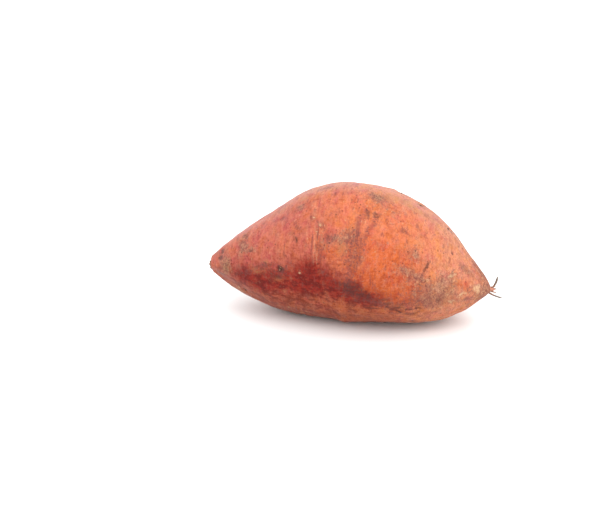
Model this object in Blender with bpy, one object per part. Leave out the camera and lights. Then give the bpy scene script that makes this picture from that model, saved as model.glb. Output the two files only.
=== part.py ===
"""A whole sweet potato, as dug, washed and cured: one storage root with its dried tail rootlets.

Metres, +Z up. +X runs along the root from the stem end to the tail, -Y is the side that faces the
viewer, and the origin is the middle of the footprint box, on the surface that the root lies on.
Sizes are written in millimetres and angles in degrees, and are turned into metres and radians once.
Around the root, 0 degrees is the top, 90 the viewer's side, 180 the underside and 270 the far side.
"""

import math
import random
from collections import namedtuple

import bmesh
import bpy
import numpy as np
from mathutils import Vector

MM = 0.001

# The root's overall form.
LENGTH_MM = 163.0
WIDTH_TO_HEIGHT = 1.05

# A station is a share of the length. Fullness is the half-height of the ellipsoid that the section
# would belong to, so the section's own half-height is fullness times the sine of the lengthwise angle.
# The axis lies low enough for the belly to dip under the surface, where it is planed to a flat spot.
Station = namedtuple("Station", "share axis_height_mm axis_aside_mm fullness_mm")
STATIONS = (
    Station(0.00, 27.0, -2.5, 21.0),
    Station(0.16, 29.5, -1.0, 31.0),
    Station(0.32, 33.1, 1.0, 36.5),
    Station(0.48, 38.8, 1.5, 40.5),
    Station(0.62, 36.1, 0.5, 40.3),
    Station(0.76, 29.0, -0.5, 37.0),
    Station(0.88, 24.1, -1.5, 31.8),
    Station(0.95, 22.5, -2.0, 25.0),
    Station(1.00, 21.6, -2.5, 17.0),
)
AXIS_STEP = 1e-4  # the share over which the axis's direction is measured

# Broad swellings that run along the root: how many around, how high, and how far they twist.
Lobe = namedtuple("Lobe", "count height_mm start_deg twist_deg")
LOBES = (
    Lobe(2, 0.8, 35.0, 60.0),
    Lobe(3, 0.7, 80.0, -110.0),
    Lobe(5, 0.45, 10.0, 150.0),
)

# Shallow grooves that run part of the way around, nearly square to the axis.
Crease = namedtuple("Crease", "share lean_mm depth_mm width_mm middle_deg reach_deg")
CREASES = (
    Crease(0.130, 1.0, 0.35, 3.0, 40.0, 70.0),
    Crease(0.300, -1.0, 0.55, 3.4, 250.0, 85.0),
    Crease(0.437, 1.5, 0.80, 2.6, 62.0, 60.0),
    Crease(0.553, -1.5, 0.60, 3.0, 62.0, 38.0),
    Crease(0.660, 1.0, 0.40, 3.0, 300.0, 80.0),
    Crease(0.767, 0.5, 0.55, 2.2, 67.0, 24.0),
    Crease(0.905, 0.5, 0.45, 2.6, 90.0, 120.0),
)

# Eyes are the pits where side roots came out. A negative depth is a corky spot that stands proud.
Eye = namedtuple("Eye", "share around_deg depth_mm long_mm wide_mm")
SEEN_EYES = (
    Eye(0.047, 54.0, 0.5, 1.6, 1.8),
    Eye(0.057, 36.0, 0.5, 1.6, 2.2),
    Eye(0.155, 31.0, 0.5, 1.8, 2.4),
    Eye(0.198, 60.0, 0.5, 1.8, 2.4),
    Eye(0.215, 26.0, 0.35, 2.0, 2.0),
    Eye(0.277, 80.0, 1.0, 2.0, 2.4),
    Eye(0.311, 28.0, 0.5, 2.2, 2.8),
    Eye(0.360, 55.0, 0.5, 1.8, 2.4),
    Eye(0.472, 59.0, 0.6, 2.0, 2.6),
    Eye(0.559, 37.0, 0.6, 1.8, 3.2),
    Eye(0.574, 19.0, 0.5, 2.8, 2.8),
    Eye(0.585, 36.0, 0.6, 1.8, 3.4),
    Eye(0.615, 343.0, 0.9, 1.8, 2.6),
    Eye(0.663, 40.0, 0.5, 2.0, 2.4),
    Eye(0.677, 350.0, 1.1, 2.0, 2.8),
    Eye(0.795, 351.0, 0.9, 1.8, 2.4),
    Eye(0.839, 24.0, 0.6, 1.8, 2.4),
    Eye(0.841, 95.0, 0.6, 2.0, 2.8),
    Eye(0.864, 58.0, 0.5, 1.8, 4.0),
    Eye(0.957, 66.0, -0.45, 2.2, 2.2),
)
# Behind and below, the eyes follow the rows that side roots grow in.
HIDDEN_ROWS_DEG = (140.0, 215.0, 250.0, 285.0, 320.0)
HIDDEN_EYES_IN_ROW = 4
HIDDEN_SEED = 7
HIDDEN_SHARES = (0.08, 0.94)
HIDDEN_DEPTH_MM = (0.5, 1.0)
HIDDEN_STRAY_DEG = 9.0
HIDDEN_LONG_MM = 1.9
HIDDEN_WIDE_MM = 2.7
LIP_HEIGHT = 0.45  # the swollen lip on an eye's stem side, as a share of its depth
LIP_SPREAD = 1.2

# Wrinkles along the belly and the tail, where the skin dried.
WRINKLE_COUNT = 16
WRINKLE_HEIGHT_MM = 0.3
BELLY_DEG = 165.0
BELLY_REACH_DEG = 55.0
TAIL_SHARE = 0.93

# The snapped-off stem end: a dished scar inside a raised rim.
STEM_SCAR_RIM_MM = 4.6
STEM_SCAR_RIM_HEIGHT_MM = 0.8
STEM_SCAR_DISH_MM = 1.5

# Near both ends the relief fades out over sections smaller than this.
RELIEF_FADE_MM = 9.0

# The surface's own net: spans on each quarter turn around, and along the flank.
SPANS_AROUND_QUARTER = 22
SPANS_ALONG_FLANK = 40
SNAP_TO_FLOOR_MM = 0.12

# Dried rootlets at the tail: reach and sideways bow in mm, and how thick they are at both ends.
Rootlet = namedtuple("Rootlet", "reach_mm bow_mm base_mm tip_mm")
ROOTLETS = (
    Rootlet((2.4, 0.1, 0.2), (0.0, 0.0, 0.2), 3.6, 1.5),
    Rootlet((3.9, 1.0, 8.0), (1.2, 0.0, -1.0), 1.2, 0.9),
    Rootlet((7.3, -0.4, -4.5), (-0.7, 0.0, -0.9), 1.2, 0.8),
    Rootlet((3.9, 0.6, 0.4), (0.0, 0.0, 0.5), 1.0, 0.7),
    Rootlet((3.7, 0.0, -1.5), (0.0, 0.2, -0.4), 1.0, 0.7),
    Rootlet((2.9, 3.0, 1.2), (0.3, 0.0, 0.5), 1.0, 0.7),
)
ROOTLET_SIDES = 6
ROOTLET_STEPS = 7
ROOTLET_SUNK_MM = 3.0
ROOTLET_TURN_AWAY = 1.3  # over 1, a rootlet first follows the root and then turns away


def smooth_through(knots, heights, shares):
    """The natural cubic spline through (knot, height) pairs, read at every share."""
    gaps = np.diff(knots)
    slopes = np.diff(heights) / gaps
    count = len(knots)
    matrix = np.eye(count)
    right = np.zeros(count)
    for i in range(1, count - 1):
        matrix[i, i - 1 : i + 2] = gaps[i - 1], 2 * (gaps[i - 1] + gaps[i]), gaps[i]
        right[i] = 6 * (slopes[i] - slopes[i - 1])
    bends = np.linalg.solve(matrix, right)
    span = np.clip(np.searchsorted(knots, shares) - 1, 0, count - 2)
    gap = gaps[span]
    after = shares - knots[span]
    before = knots[span + 1] - shares
    return (
        (bends[span] * before**3 + bends[span + 1] * after**3) / (6 * gap)
        + (heights[span] / gap - bends[span] * gap / 6) * before
        + (heights[span + 1] / gap - bends[span + 1] * gap / 6) * after
    )


def station_value(name, shares):
    """One column of the station table, made smooth along the root."""
    knots = np.array([station.share for station in STATIONS])
    return smooth_through(knots, np.array([getattr(s, name) for s in STATIONS]), shares)


def turn_between(angle, other):
    """The signed angle from other to angle, in radians, between minus and plus half a turn."""
    return (angle - other + math.pi) % (2 * math.pi) - math.pi


def bell(distance, width):
    return np.exp(-((distance / width) ** 2))


def hidden_eyes():
    """The eyes of the far side and the underside: rows along the root, with a seeded stray."""
    draw = random.Random(HIDDEN_SEED)
    first, last = HIDDEN_SHARES
    eyes = []
    for row, row_deg in enumerate(HIDDEN_ROWS_DEG):
        for place in range(HIDDEN_EYES_IN_ROW):
            step = (place + 0.5 * (row % 2) + draw.uniform(0.1, 0.5)) / HIDDEN_EYES_IN_ROW
            share = first + (last - first) * min(step, 1.0)
            around_deg = row_deg + draw.uniform(-HIDDEN_STRAY_DEG, HIDDEN_STRAY_DEG)
            depth = draw.uniform(*HIDDEN_DEPTH_MM)
            eyes.append(Eye(share, around_deg, depth, HIDDEN_LONG_MM, HIDDEN_WIDE_MM))
    return eyes


def lobe_relief(share, around):
    relief = np.zeros_like(share)
    for lobe in LOBES:
        phase = around - math.radians(lobe.start_deg) - math.radians(lobe.twist_deg) * share
        relief += lobe.height_mm * np.cos(lobe.count * phase)
    return relief


def crease_relief(share, around):
    relief = np.zeros_like(share)
    for crease in CREASES:
        reach = bell(
            turn_between(around, math.radians(crease.middle_deg)), math.radians(crease.reach_deg)
        )
        line = crease.share * LENGTH_MM + crease.lean_mm * np.sin(2 * around)
        relief -= crease.depth_mm * reach * bell(share * LENGTH_MM - line, crease.width_mm)
    return relief


def eye_relief(share, around, section_mm):
    """A bell-shaped pit for each eye, with a lower, wider lip beside it on the stem side."""
    relief = np.zeros_like(share)
    for eye in (*SEEN_EYES, *hidden_eyes()):
        along = (share - eye.share) * LENGTH_MM / eye.long_mm
        aside = turn_between(around, math.radians(eye.around_deg)) * section_mm / eye.wide_mm
        pit = bell(np.hypot(along, aside), 1.0)
        lip = bell(np.hypot(along + 2, aside), LIP_SPREAD)
        relief -= eye.depth_mm * (pit - LIP_HEIGHT * lip)
    return relief


def wrinkle_relief(share, around):
    belly = bell(turn_between(around, math.radians(BELLY_DEG)), math.radians(BELLY_REACH_DEG))
    where = np.maximum(0.7 * belly * bell(share - 0.6, 0.3), bell(share - TAIL_SHARE, 0.10))
    ripple = np.sin(WRINKLE_COUNT * around + 3 * np.sin(9 * share) + 2 * np.sin(3 * around))
    return WRINKLE_HEIGHT_MM * ripple * where


def axis_frame(share):
    """Along the root: the axis points in mm, and the unit vectors upright and to the viewer's side."""
    before = np.clip(share - AXIS_STEP, 0, 1)
    beyond = np.clip(share + AXIS_STEP, 0, 1)
    columns = ("axis_aside_mm", "axis_height_mm")
    run = (beyond - before) * LENGTH_MM
    drift, rise = (station_value(name, beyond) - station_value(name, before) for name in columns)
    axis = np.stack([run, drift, rise], axis=-1)
    axis /= np.linalg.norm(axis, axis=-1, keepdims=True)
    upright = np.array([0.0, 0.0, 1.0]) - axis * axis[..., 2:3]
    upright /= np.linalg.norm(upright, axis=-1, keepdims=True)
    aside, height = (station_value(name, share) for name in columns)
    return np.stack([share * LENGTH_MM, aside, height], axis=-1), upright, np.cross(axis, upright)


def skin_points(lengthwise, around):
    """Points of the skin in mm, from the stem end. lengthwise runs from 0 there to pi at the tail.

    The share of the length is (1 - cos lengthwise) / 2. The axis is a smooth curve through the
    stations. Each section stands square to it, is a little wider than high, and has a half-height
    of fullness times sin(lengthwise), plus the relief.
    """
    share = (1 - np.cos(lengthwise)) / 2
    centre, upright, front = axis_frame(share)
    section = station_value("fullness_mm", share) * np.sin(lengthwise)
    relief = lobe_relief(share, around) + crease_relief(share, around)
    relief += eye_relief(share, around, section) + wrinkle_relief(share, around)
    out = section + relief * np.clip(section / RELIEF_FADE_MM, 0, 1)
    rim = STEM_SCAR_RIM_HEIGHT_MM * bell(section - STEM_SCAR_RIM_MM, STEM_SCAR_RIM_MM / 3)
    dish = STEM_SCAR_DISH_MM * bell(section, STEM_SCAR_RIM_MM * 2 / 3)
    centre[..., 0] += (dish - rim) * (share < 0.5)
    rise = upright * (out * np.cos(around))[..., None]
    spread = front * (out * WIDTH_TO_HEIGHT * np.sin(around))[..., None]
    return centre + rise + spread


def new_object(name, bm):
    mesh = bpy.data.meshes.new(name)
    bm.to_mesh(mesh)
    bm.free()
    made = bpy.data.objects.new(name, mesh)
    bpy.context.scene.collection.objects.link(made)
    return made


def storage_root():
    """The root's body: a box whose faces are cut into even spans, drawn out onto the skin."""
    bm = bmesh.new()
    bmesh.ops.create_cube(bm, size=2)
    for axis, spans in enumerate((SPANS_ALONG_FLANK, SPANS_AROUND_QUARTER, SPANS_AROUND_QUARTER)):
        whole = [e for e in bm.edges if abs(e.verts[0].co[axis] - e.verts[1].co[axis]) > 1.99]
        bmesh.ops.subdivide_edges(bm, edges=whole, cuts=spans - 1, use_grid_fill=True)
    ray = np.tan(np.array([vert.co for vert in bm.verts]) * math.pi / 4)
    ray /= np.linalg.norm(ray, axis=1, keepdims=True)
    lengthwise = np.arccos(np.clip(-ray[:, 0], -1, 1))
    points = skin_points(lengthwise, np.arctan2(-ray[:, 1], ray[:, 2]))
    for vert, point in zip(bm.verts, points):
        vert.co = Vector(point) * MM
    bmesh.ops.recalc_face_normals(bm, faces=bm.faces)
    return new_object("sweet_potato", bm)


def rootlet_middles(shape, start, lead):
    """Points along a rootlet: from inside the tail, along it, then away along its reach, bowed."""
    middles = []
    for step in range(ROOTLET_STEPS + 1):
        share = step / ROOTLET_STEPS
        point = start + lead * ROOTLET_SUNK_MM * (share - 1)
        point += Vector(shape.reach_mm) * share**ROOTLET_TURN_AWAY
        middles.append(point + Vector(shape.bow_mm) * math.sin(math.pi * share))
    return middles


def rootlet(name, shape, start, lead):
    """A tapered root of a few flat sides, closed at both ends."""
    middles = rootlet_middles(shape, start, lead)
    bm = bmesh.new()
    rings = []
    for step, middle in enumerate(middles):
        heading = middles[min(step + 1, ROOTLET_STEPS)] - middles[max(step - 1, 0)]
        turn = heading.to_track_quat("Z", "Y")
        share = step / ROOTLET_STEPS
        radius = (shape.base_mm * (1 - share) + shape.tip_mm * share) / 2
        angles = [2 * math.pi * side / ROOTLET_SIDES for side in range(ROOTLET_SIDES)]
        corners = [turn @ Vector((math.cos(a), math.sin(a), 0)) * radius for a in angles]
        rings.append([bm.verts.new((middle + corner) * MM) for corner in corners])
    for low, high in zip(rings, rings[1:]):
        for i in range(ROOTLET_SIDES):
            j = (i + 1) % ROOTLET_SIDES
            bm.faces.new((low[i], low[j], high[j], high[i]))
    bm.faces.new(rings[0])
    bm.faces.new(rings[-1])
    bmesh.ops.recalc_face_normals(bm, faces=bm.faces)
    return new_object(name, bm)


def fuse_rootlets(body):
    """Joins the tail's rootlets to the body as one closed surface."""
    tail = np.array([1.0, 1.0 - 2 * AXIS_STEP])
    tip, inner = (Vector(point) for point in axis_frame(tail)[0])
    lead = (tip - inner).normalized()
    group = bpy.data.collections.new("tail_rootlets")
    bpy.context.scene.collection.children.link(group)
    for number, shape in enumerate(ROOTLETS):
        made = rootlet(f"rootlet_{number}", shape, tip, lead)
        bpy.context.scene.collection.objects.unlink(made)
        group.objects.link(made)
    join = body.modifiers.new("rootlets", "BOOLEAN")
    join.operation = "UNION"
    join.operand_type = "COLLECTION"
    join.solver = "EXACT"
    join.collection = group
    bpy.context.view_layer.objects.active = body
    bpy.ops.object.modifier_apply(modifier=join.name)
    for made in list(group.objects):
        bpy.data.objects.remove(made)
    bpy.data.collections.remove(group)


def cut_resting_spot(body):
    """Planes off what lies below the surface, which leaves the belly's small flat spot."""
    bm = bmesh.new()
    bm.from_mesh(body.data)
    for vert in bm.verts:
        if abs(vert.co.z) < SNAP_TO_FLOOR_MM * MM:
            vert.co.z = 0.0
    everything = bm.verts[:] + bm.edges[:] + bm.faces[:]
    bmesh.ops.bisect_plane(
        bm, geom=everything, dist=1e-7, plane_co=(0, 0, 0), plane_no=(0, 0, -1), clear_outer=True
    )
    rim = [edge for edge in bm.edges if edge.is_boundary]
    bmesh.ops.edgeloop_fill(bm, edges=rim)
    bmesh.ops.recalc_face_normals(bm, faces=bm.faces)
    bm.to_mesh(body.data)
    bm.free()


def centre_on_footprint(body):
    """Moves the mesh so that the origin is the middle of its footprint box."""
    corners = np.array([vert.co for vert in body.data.vertices])
    middle = (corners.min(axis=0) + corners.max(axis=0)) / 2
    for vert in body.data.vertices:
        vert.co.x -= middle[0]
        vert.co.y -= middle[1]


def skin_material():
    material = bpy.data.materials.new("sweet_potato_skin")
    material.use_nodes = True
    shader = material.node_tree.nodes["Principled BSDF"]
    shader.inputs["Base Color"].default_value = (0.58, 0.17, 0.09, 1.0)
    shader.inputs["Roughness"].default_value = 0.55
    shader.inputs["Metallic"].default_value = 0.0
    return material


def main():
    for old in list(bpy.data.objects):
        bpy.data.objects.remove(old)
    body = storage_root()
    fuse_rootlets(body)
    cut_resting_spot(body)
    centre_on_footprint(body)
    body.data.materials.clear()
    body.data.materials.append(skin_material())
    body.data.shade_smooth()


main()
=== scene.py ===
"""The finish of a whole sweet potato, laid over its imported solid.

Objects are in metres in the solid's own frame: +X from the stem end to the tail, -Y the viewer's
side, +Z up, with the surface it lies on at zero. The form is worked out in millimetres from the stem
end by the same formula as the solid, then moved onto the solid's box. Around the root, 0 degrees is
the top, 90 the viewer's side, 180 the underside and 270 the far side.
"""

import itertools
import math
import random
from collections import namedtuple

import bpy
import numpy as np
from bpy.props import (
    FloatProperty,
    FloatVectorProperty,
    IntProperty,
    PointerProperty,
)
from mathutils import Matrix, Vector


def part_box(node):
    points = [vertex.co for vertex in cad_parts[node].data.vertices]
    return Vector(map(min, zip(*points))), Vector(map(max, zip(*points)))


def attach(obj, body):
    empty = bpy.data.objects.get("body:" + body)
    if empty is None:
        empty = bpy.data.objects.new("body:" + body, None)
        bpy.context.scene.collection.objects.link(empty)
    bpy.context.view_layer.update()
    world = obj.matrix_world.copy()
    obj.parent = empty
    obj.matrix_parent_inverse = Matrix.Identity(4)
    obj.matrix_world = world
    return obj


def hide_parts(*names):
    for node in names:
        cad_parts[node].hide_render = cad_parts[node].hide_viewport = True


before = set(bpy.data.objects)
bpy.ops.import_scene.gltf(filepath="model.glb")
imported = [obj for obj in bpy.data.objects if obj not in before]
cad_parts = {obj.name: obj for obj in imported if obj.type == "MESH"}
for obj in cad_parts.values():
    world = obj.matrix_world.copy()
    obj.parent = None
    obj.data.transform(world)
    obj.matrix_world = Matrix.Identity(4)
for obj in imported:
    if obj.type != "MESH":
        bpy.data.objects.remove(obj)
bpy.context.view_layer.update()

bl_info = {
    "name": "Sweet Potato",
    "version": (1, 0, 0),
    "blender": (4, 5, 0),
    "location": "View3D > Sidebar > Sweet Potato",
    "description": "Lays the skin, the dried rootlets and the scars over a whole sweet potato",
    "category": "Add Mesh",
}

MM = 0.001
BODY = "root"
NODE = "sweet_potato"

# The form, as in the solid. AXIS_STEP is the share of the length that gives the axis its direction,
# and FORM_STEPS the points along and around that the form is placed on the solid by.
LENGTH_MM = 163.0
WIDTH_TO_HEIGHT = 1.05
AXIS_STEP = 1e-4
FORM_STEPS = 181

Station = namedtuple("Station", "share axis_height_mm axis_aside_mm fullness_mm")
STATIONS = (
    Station(0.00, 27.0, -2.5, 21.0),
    Station(0.16, 29.5, -1.0, 31.0),
    Station(0.32, 33.1, 1.0, 36.5),
    Station(0.48, 38.8, 1.5, 40.5),
    Station(0.62, 36.1, 0.5, 40.3),
    Station(0.76, 29.0, -0.5, 37.0),
    Station(0.88, 24.1, -1.5, 31.8),
    Station(0.95, 22.5, -2.0, 25.0),
    Station(1.00, 21.6, -2.5, 17.0),
)

Lobe = namedtuple("Lobe", "count height_mm start_deg twist_deg")
LOBES = (
    Lobe(2, 0.8, 35.0, 60.0),
    Lobe(3, 0.7, 80.0, -110.0),
    Lobe(5, 0.45, 10.0, 150.0),
)

Crease = namedtuple("Crease", "share lean_mm depth_mm width_mm middle_deg reach_deg")
CREASES = (
    Crease(0.130, 1.0, 0.35, 3.0, 40.0, 70.0),
    Crease(0.300, -1.0, 0.55, 3.4, 250.0, 85.0),
    Crease(0.437, 1.5, 0.80, 2.6, 62.0, 60.0),
    Crease(0.553, -1.5, 0.60, 3.0, 62.0, 38.0),
    Crease(0.660, 1.0, 0.40, 3.0, 300.0, 80.0),
    Crease(0.767, 0.5, 0.55, 2.2, 67.0, 24.0),
    Crease(0.905, 0.5, 0.45, 2.6, 90.0, 120.0),
)

Eye = namedtuple("Eye", "share around_deg depth_mm long_mm wide_mm")
SEEN_EYES = (
    Eye(0.047, 54.0, 0.5, 1.6, 1.8),
    Eye(0.057, 36.0, 0.5, 1.6, 2.2),
    Eye(0.155, 31.0, 0.5, 1.8, 2.4),
    Eye(0.198, 60.0, 0.5, 1.8, 2.4),
    Eye(0.215, 26.0, 0.35, 2.0, 2.0),
    Eye(0.277, 80.0, 1.0, 2.0, 2.4),
    Eye(0.311, 28.0, 0.5, 2.2, 2.8),
    Eye(0.360, 55.0, 0.5, 1.8, 2.4),
    Eye(0.472, 59.0, 0.6, 2.0, 2.6),
    Eye(0.559, 37.0, 0.6, 1.8, 3.2),
    Eye(0.574, 19.0, 0.5, 2.8, 2.8),
    Eye(0.585, 36.0, 0.6, 1.8, 3.4),
    Eye(0.615, 343.0, 0.9, 1.8, 2.6),
    Eye(0.663, 40.0, 0.5, 2.0, 2.4),
    Eye(0.677, 350.0, 1.1, 2.0, 2.8),
    Eye(0.795, 351.0, 0.9, 1.8, 2.4),
    Eye(0.839, 24.0, 0.6, 1.8, 2.4),
    Eye(0.841, 95.0, 0.6, 2.0, 2.8),
    Eye(0.864, 58.0, 0.5, 1.8, 4.0),
    Eye(0.957, 66.0, -0.45, 2.2, 2.2),
)
# Rows of eyes on the unseen sides, each moved a little by a seeded draw.
HIDDEN_ROWS_DEG = (140.0, 215.0, 250.0, 285.0, 320.0)
HIDDEN_EYES_IN_ROW = 4
HIDDEN_SEED = 7
HIDDEN_SHARES = (0.08, 0.94)
HIDDEN_DEPTH_MM = (0.5, 1.0)
HIDDEN_STRAY_DEG = 9.0
HIDDEN_STRAY_STEPS = (0.1, 0.5)
HIDDEN_LONG_MM = 1.9
HIDDEN_WIDE_MM = 2.7
# The lip beside an eye's pit: a share of its depth, and its spread and distance in half-lengths.
LIP_HEIGHT = 0.45
LIP_SPREAD = 1.2
LIP_AWAY = 2.0

# Dried wrinkles on the belly and the tail.
WRINKLE_COUNT = 16
WRINKLE_HEIGHT_MM = 0.3
BELLY_WRINKLES = 0.7
BELLY_DEG = 165.0
BELLY_REACH_DEG = 55.0
BELLY_SHARE = 0.6
BELLY_REACH_SHARE = 0.3
TAIL_SHARE = 0.93
TAIL_REACH_SHARE = 0.10

# The stem scar, the half-height below which a section's relief fades out, and how softly the flat
# spot's edge is rounded.
STEM_SCAR_RIM_MM = 4.6
STEM_SCAR_RIM_HEIGHT_MM = 0.8
STEM_SCAR_DISH_MM = 1.5
RELIEF_FADE_MM = 9.0
BELLY_EDGE_MM = 0.7

Rootlet = namedtuple("Rootlet", "reach_mm bow_mm base_mm tip_mm")
ROOTLETS = (
    Rootlet((2.4, 0.1, 0.2), (0.0, 0.0, 0.2), 3.6, 1.5),
    Rootlet((3.7, 1.0, 8.3), (1.6, 0.0, -1.4), 1.0, 1.3),
    Rootlet((7.3, -0.4, -4.5), (-0.7, 0.0, -0.9), 1.2, 0.8),
    Rootlet((3.9, 0.6, 0.4), (0.0, 0.0, 0.5), 1.0, 0.7),
    Rootlet((3.7, 0.0, -1.5), (0.0, 0.2, -0.4), 1.0, 0.7),
    Rootlet((2.9, 3.0, 1.2), (0.3, 0.0, 0.5), 1.0, 0.7),
)
ROOTLET_SUNK_MM = 3.0
ROOTLET_TURN_AWAY = 1.3

# Lumps that the solid is too coarse for: the pitch of their lattice, their stretch and their height.
Lump = namedtuple("Lump", "pitch_mm stretch height_mm seed")
LUMPS = (
    Lump(15.0, (1.0, 1.0, 1.0), 0.45, 11),
    Lump(6.0, (1.4, 0.8, 0.8), 0.20, 12),
    Lump(2.6, (1.8, 0.7, 0.7), 0.10, 13),
)
# The side of the repeating lattice of random values, and how far the skin's rows gather.
LATTICE = 64
ROWS_DRAWN_IN = 0.35

# The ridges inside ring and furrow marks, in steps of the lattice to a millimetre along each axis.
RING_RIDGES = (0.75, 0.10, 0.10)
RING_SEED = 31
FURROW_RIDGES = (0.06, 0.55, 0.55)
FURROW_SEED = 32

# Threads are shrivelled: SHRIVEL is how far the radius strays, as a share of it. A step along and a
# turn around cover so much of the noise's lattice. The start is drawn for each stub and fibre, and
# for a rootlet it is ROOTLET_START times its number.
SHRIVEL = 0.2
SHRIVEL_SEED = 41
SHRIVEL_ALONG = 0.22
SHRIVEL_AROUND = 0.9
SHRIVEL_STARTS = (0, 40)
THREAD_CROSS = (0.31, 0.93, 0.20)

# A rootlet comes to a point over its last TIP_SHARE, by that share to the power TIP_POWER. It is as
# dry as its length over DRIED_LENGTH_MM, and less so where its base is wider than DRIED_WIDTH_MM.
TIP_SHARE = 0.15
TIP_LEAST = 0.02
TIP_POWER = 0.6
ROOTLET_START = 3.7
DRIED_LENGTH_MM = 8.0
DRIED_WIDTH_MM = 1.2

# Stubs of snapped side roots. Leans are shares of the height, and heights of the eye's depth.
STUB_SEED = 5
STUB_NET = (10, 8)
STUB_LEAST_DEPTH_MM = 0.75
STUB_LEANS = ((-0.4, 0.4), (-0.4, 0.4), (-0.2, 0.4))
STUB_HEIGHTS = (0.8, 1.3)
STUB_RADII_MM = (0.45, 0.75)
STUB_TAPER = (1.1, 0.6)
STUB_TOP = (0.85, 0.4)
STUB_DRYNESS = 0.7

# Torn fibres in the stem scar. The bundle is longest in a ring, by up to FIBRE_RING_MM.
FIBRE_SEED = 17
FIBRE_NET = (7, 6)
FIBRES = 120
FIBRE_BUNDLE_MM = 3.1
FIBRE_FOOT_MM = 3.4
FIBRE_LENGTHS_MM = (2.2, 3.2)
FIBRE_RING_MM = 1.2
FIBRE_SPLAYS = (-0.1, 0.5)
FIBRE_RADII_MM = (0.35, 0.60)
FIBRE_TAPER = (1.0, 0.5)
FIBRE_DRYNESS = 0.35

# Where the skin's colour turns, from a share of the length over so much more of it.
Turn = namedtuple("Turn", "share over")
WARMTH = Turn(0.36, 0.22)
# Towards the tail the skin turns paler and yellower: its own duller tone together with painted light
# falling from the right.
TAN_AND_LIGHT = Turn(0.62, 0.26)

# Bands along the underside and the low flank: a bell around the root, less a bell at the tail. The
# underside's band lays a darker red-brown, the skin's own tone together with painted shade. The low
# band is painted shade of the low flank, steepened by its gain, and gives way to the glow.
Band = namedtuple("Band", "middle_deg reach tail_share tail_reach tail_fade")
BELLY_SHADE_BAND = Band(155.0, 1.15, 0.90, 0.15, 0.95)
SHADED_LOW_BAND = Band(107.0, 0.80, 0.92, 0.14, 1.0)
SHADED_LOW_BAND_GAIN = 1.25
GLOW_CLEARS_LOW = 0.8

# The dry ends, by the half-height of the section, and how dark the eyes are for their depth: their
# own dark spots together with painted shade in their pits.
DRY_STEM_MM = 1.1 * STEM_SCAR_RIM_MM
DRY_TAIL_MM = 3.2
EYE_STRAY = 0.4
EYE_DARKNESS = 0.7
EYE_SPREAD = 0.8

# How far the edges of the marks wander, broadly and finely, with a seed along and one around.
Wander = namedtuple("Wander", "reach_mm pitch_mm")
WANDERS = (Wander(1.0, 3.4), Wander(0.45, 1.4))
WANDER_SEEDS = (51, 61)

# The lamp in front and the floor.
KEY_PLACE = (0.50, -0.75, 0.95)
KEY_AIM = (0.0, 0.0, 0.03)
KEY_SIDE = 0.9
FLOOR_ROUGHNESS = 0.9
FLOOR_GLOSS = 0.1

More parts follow.
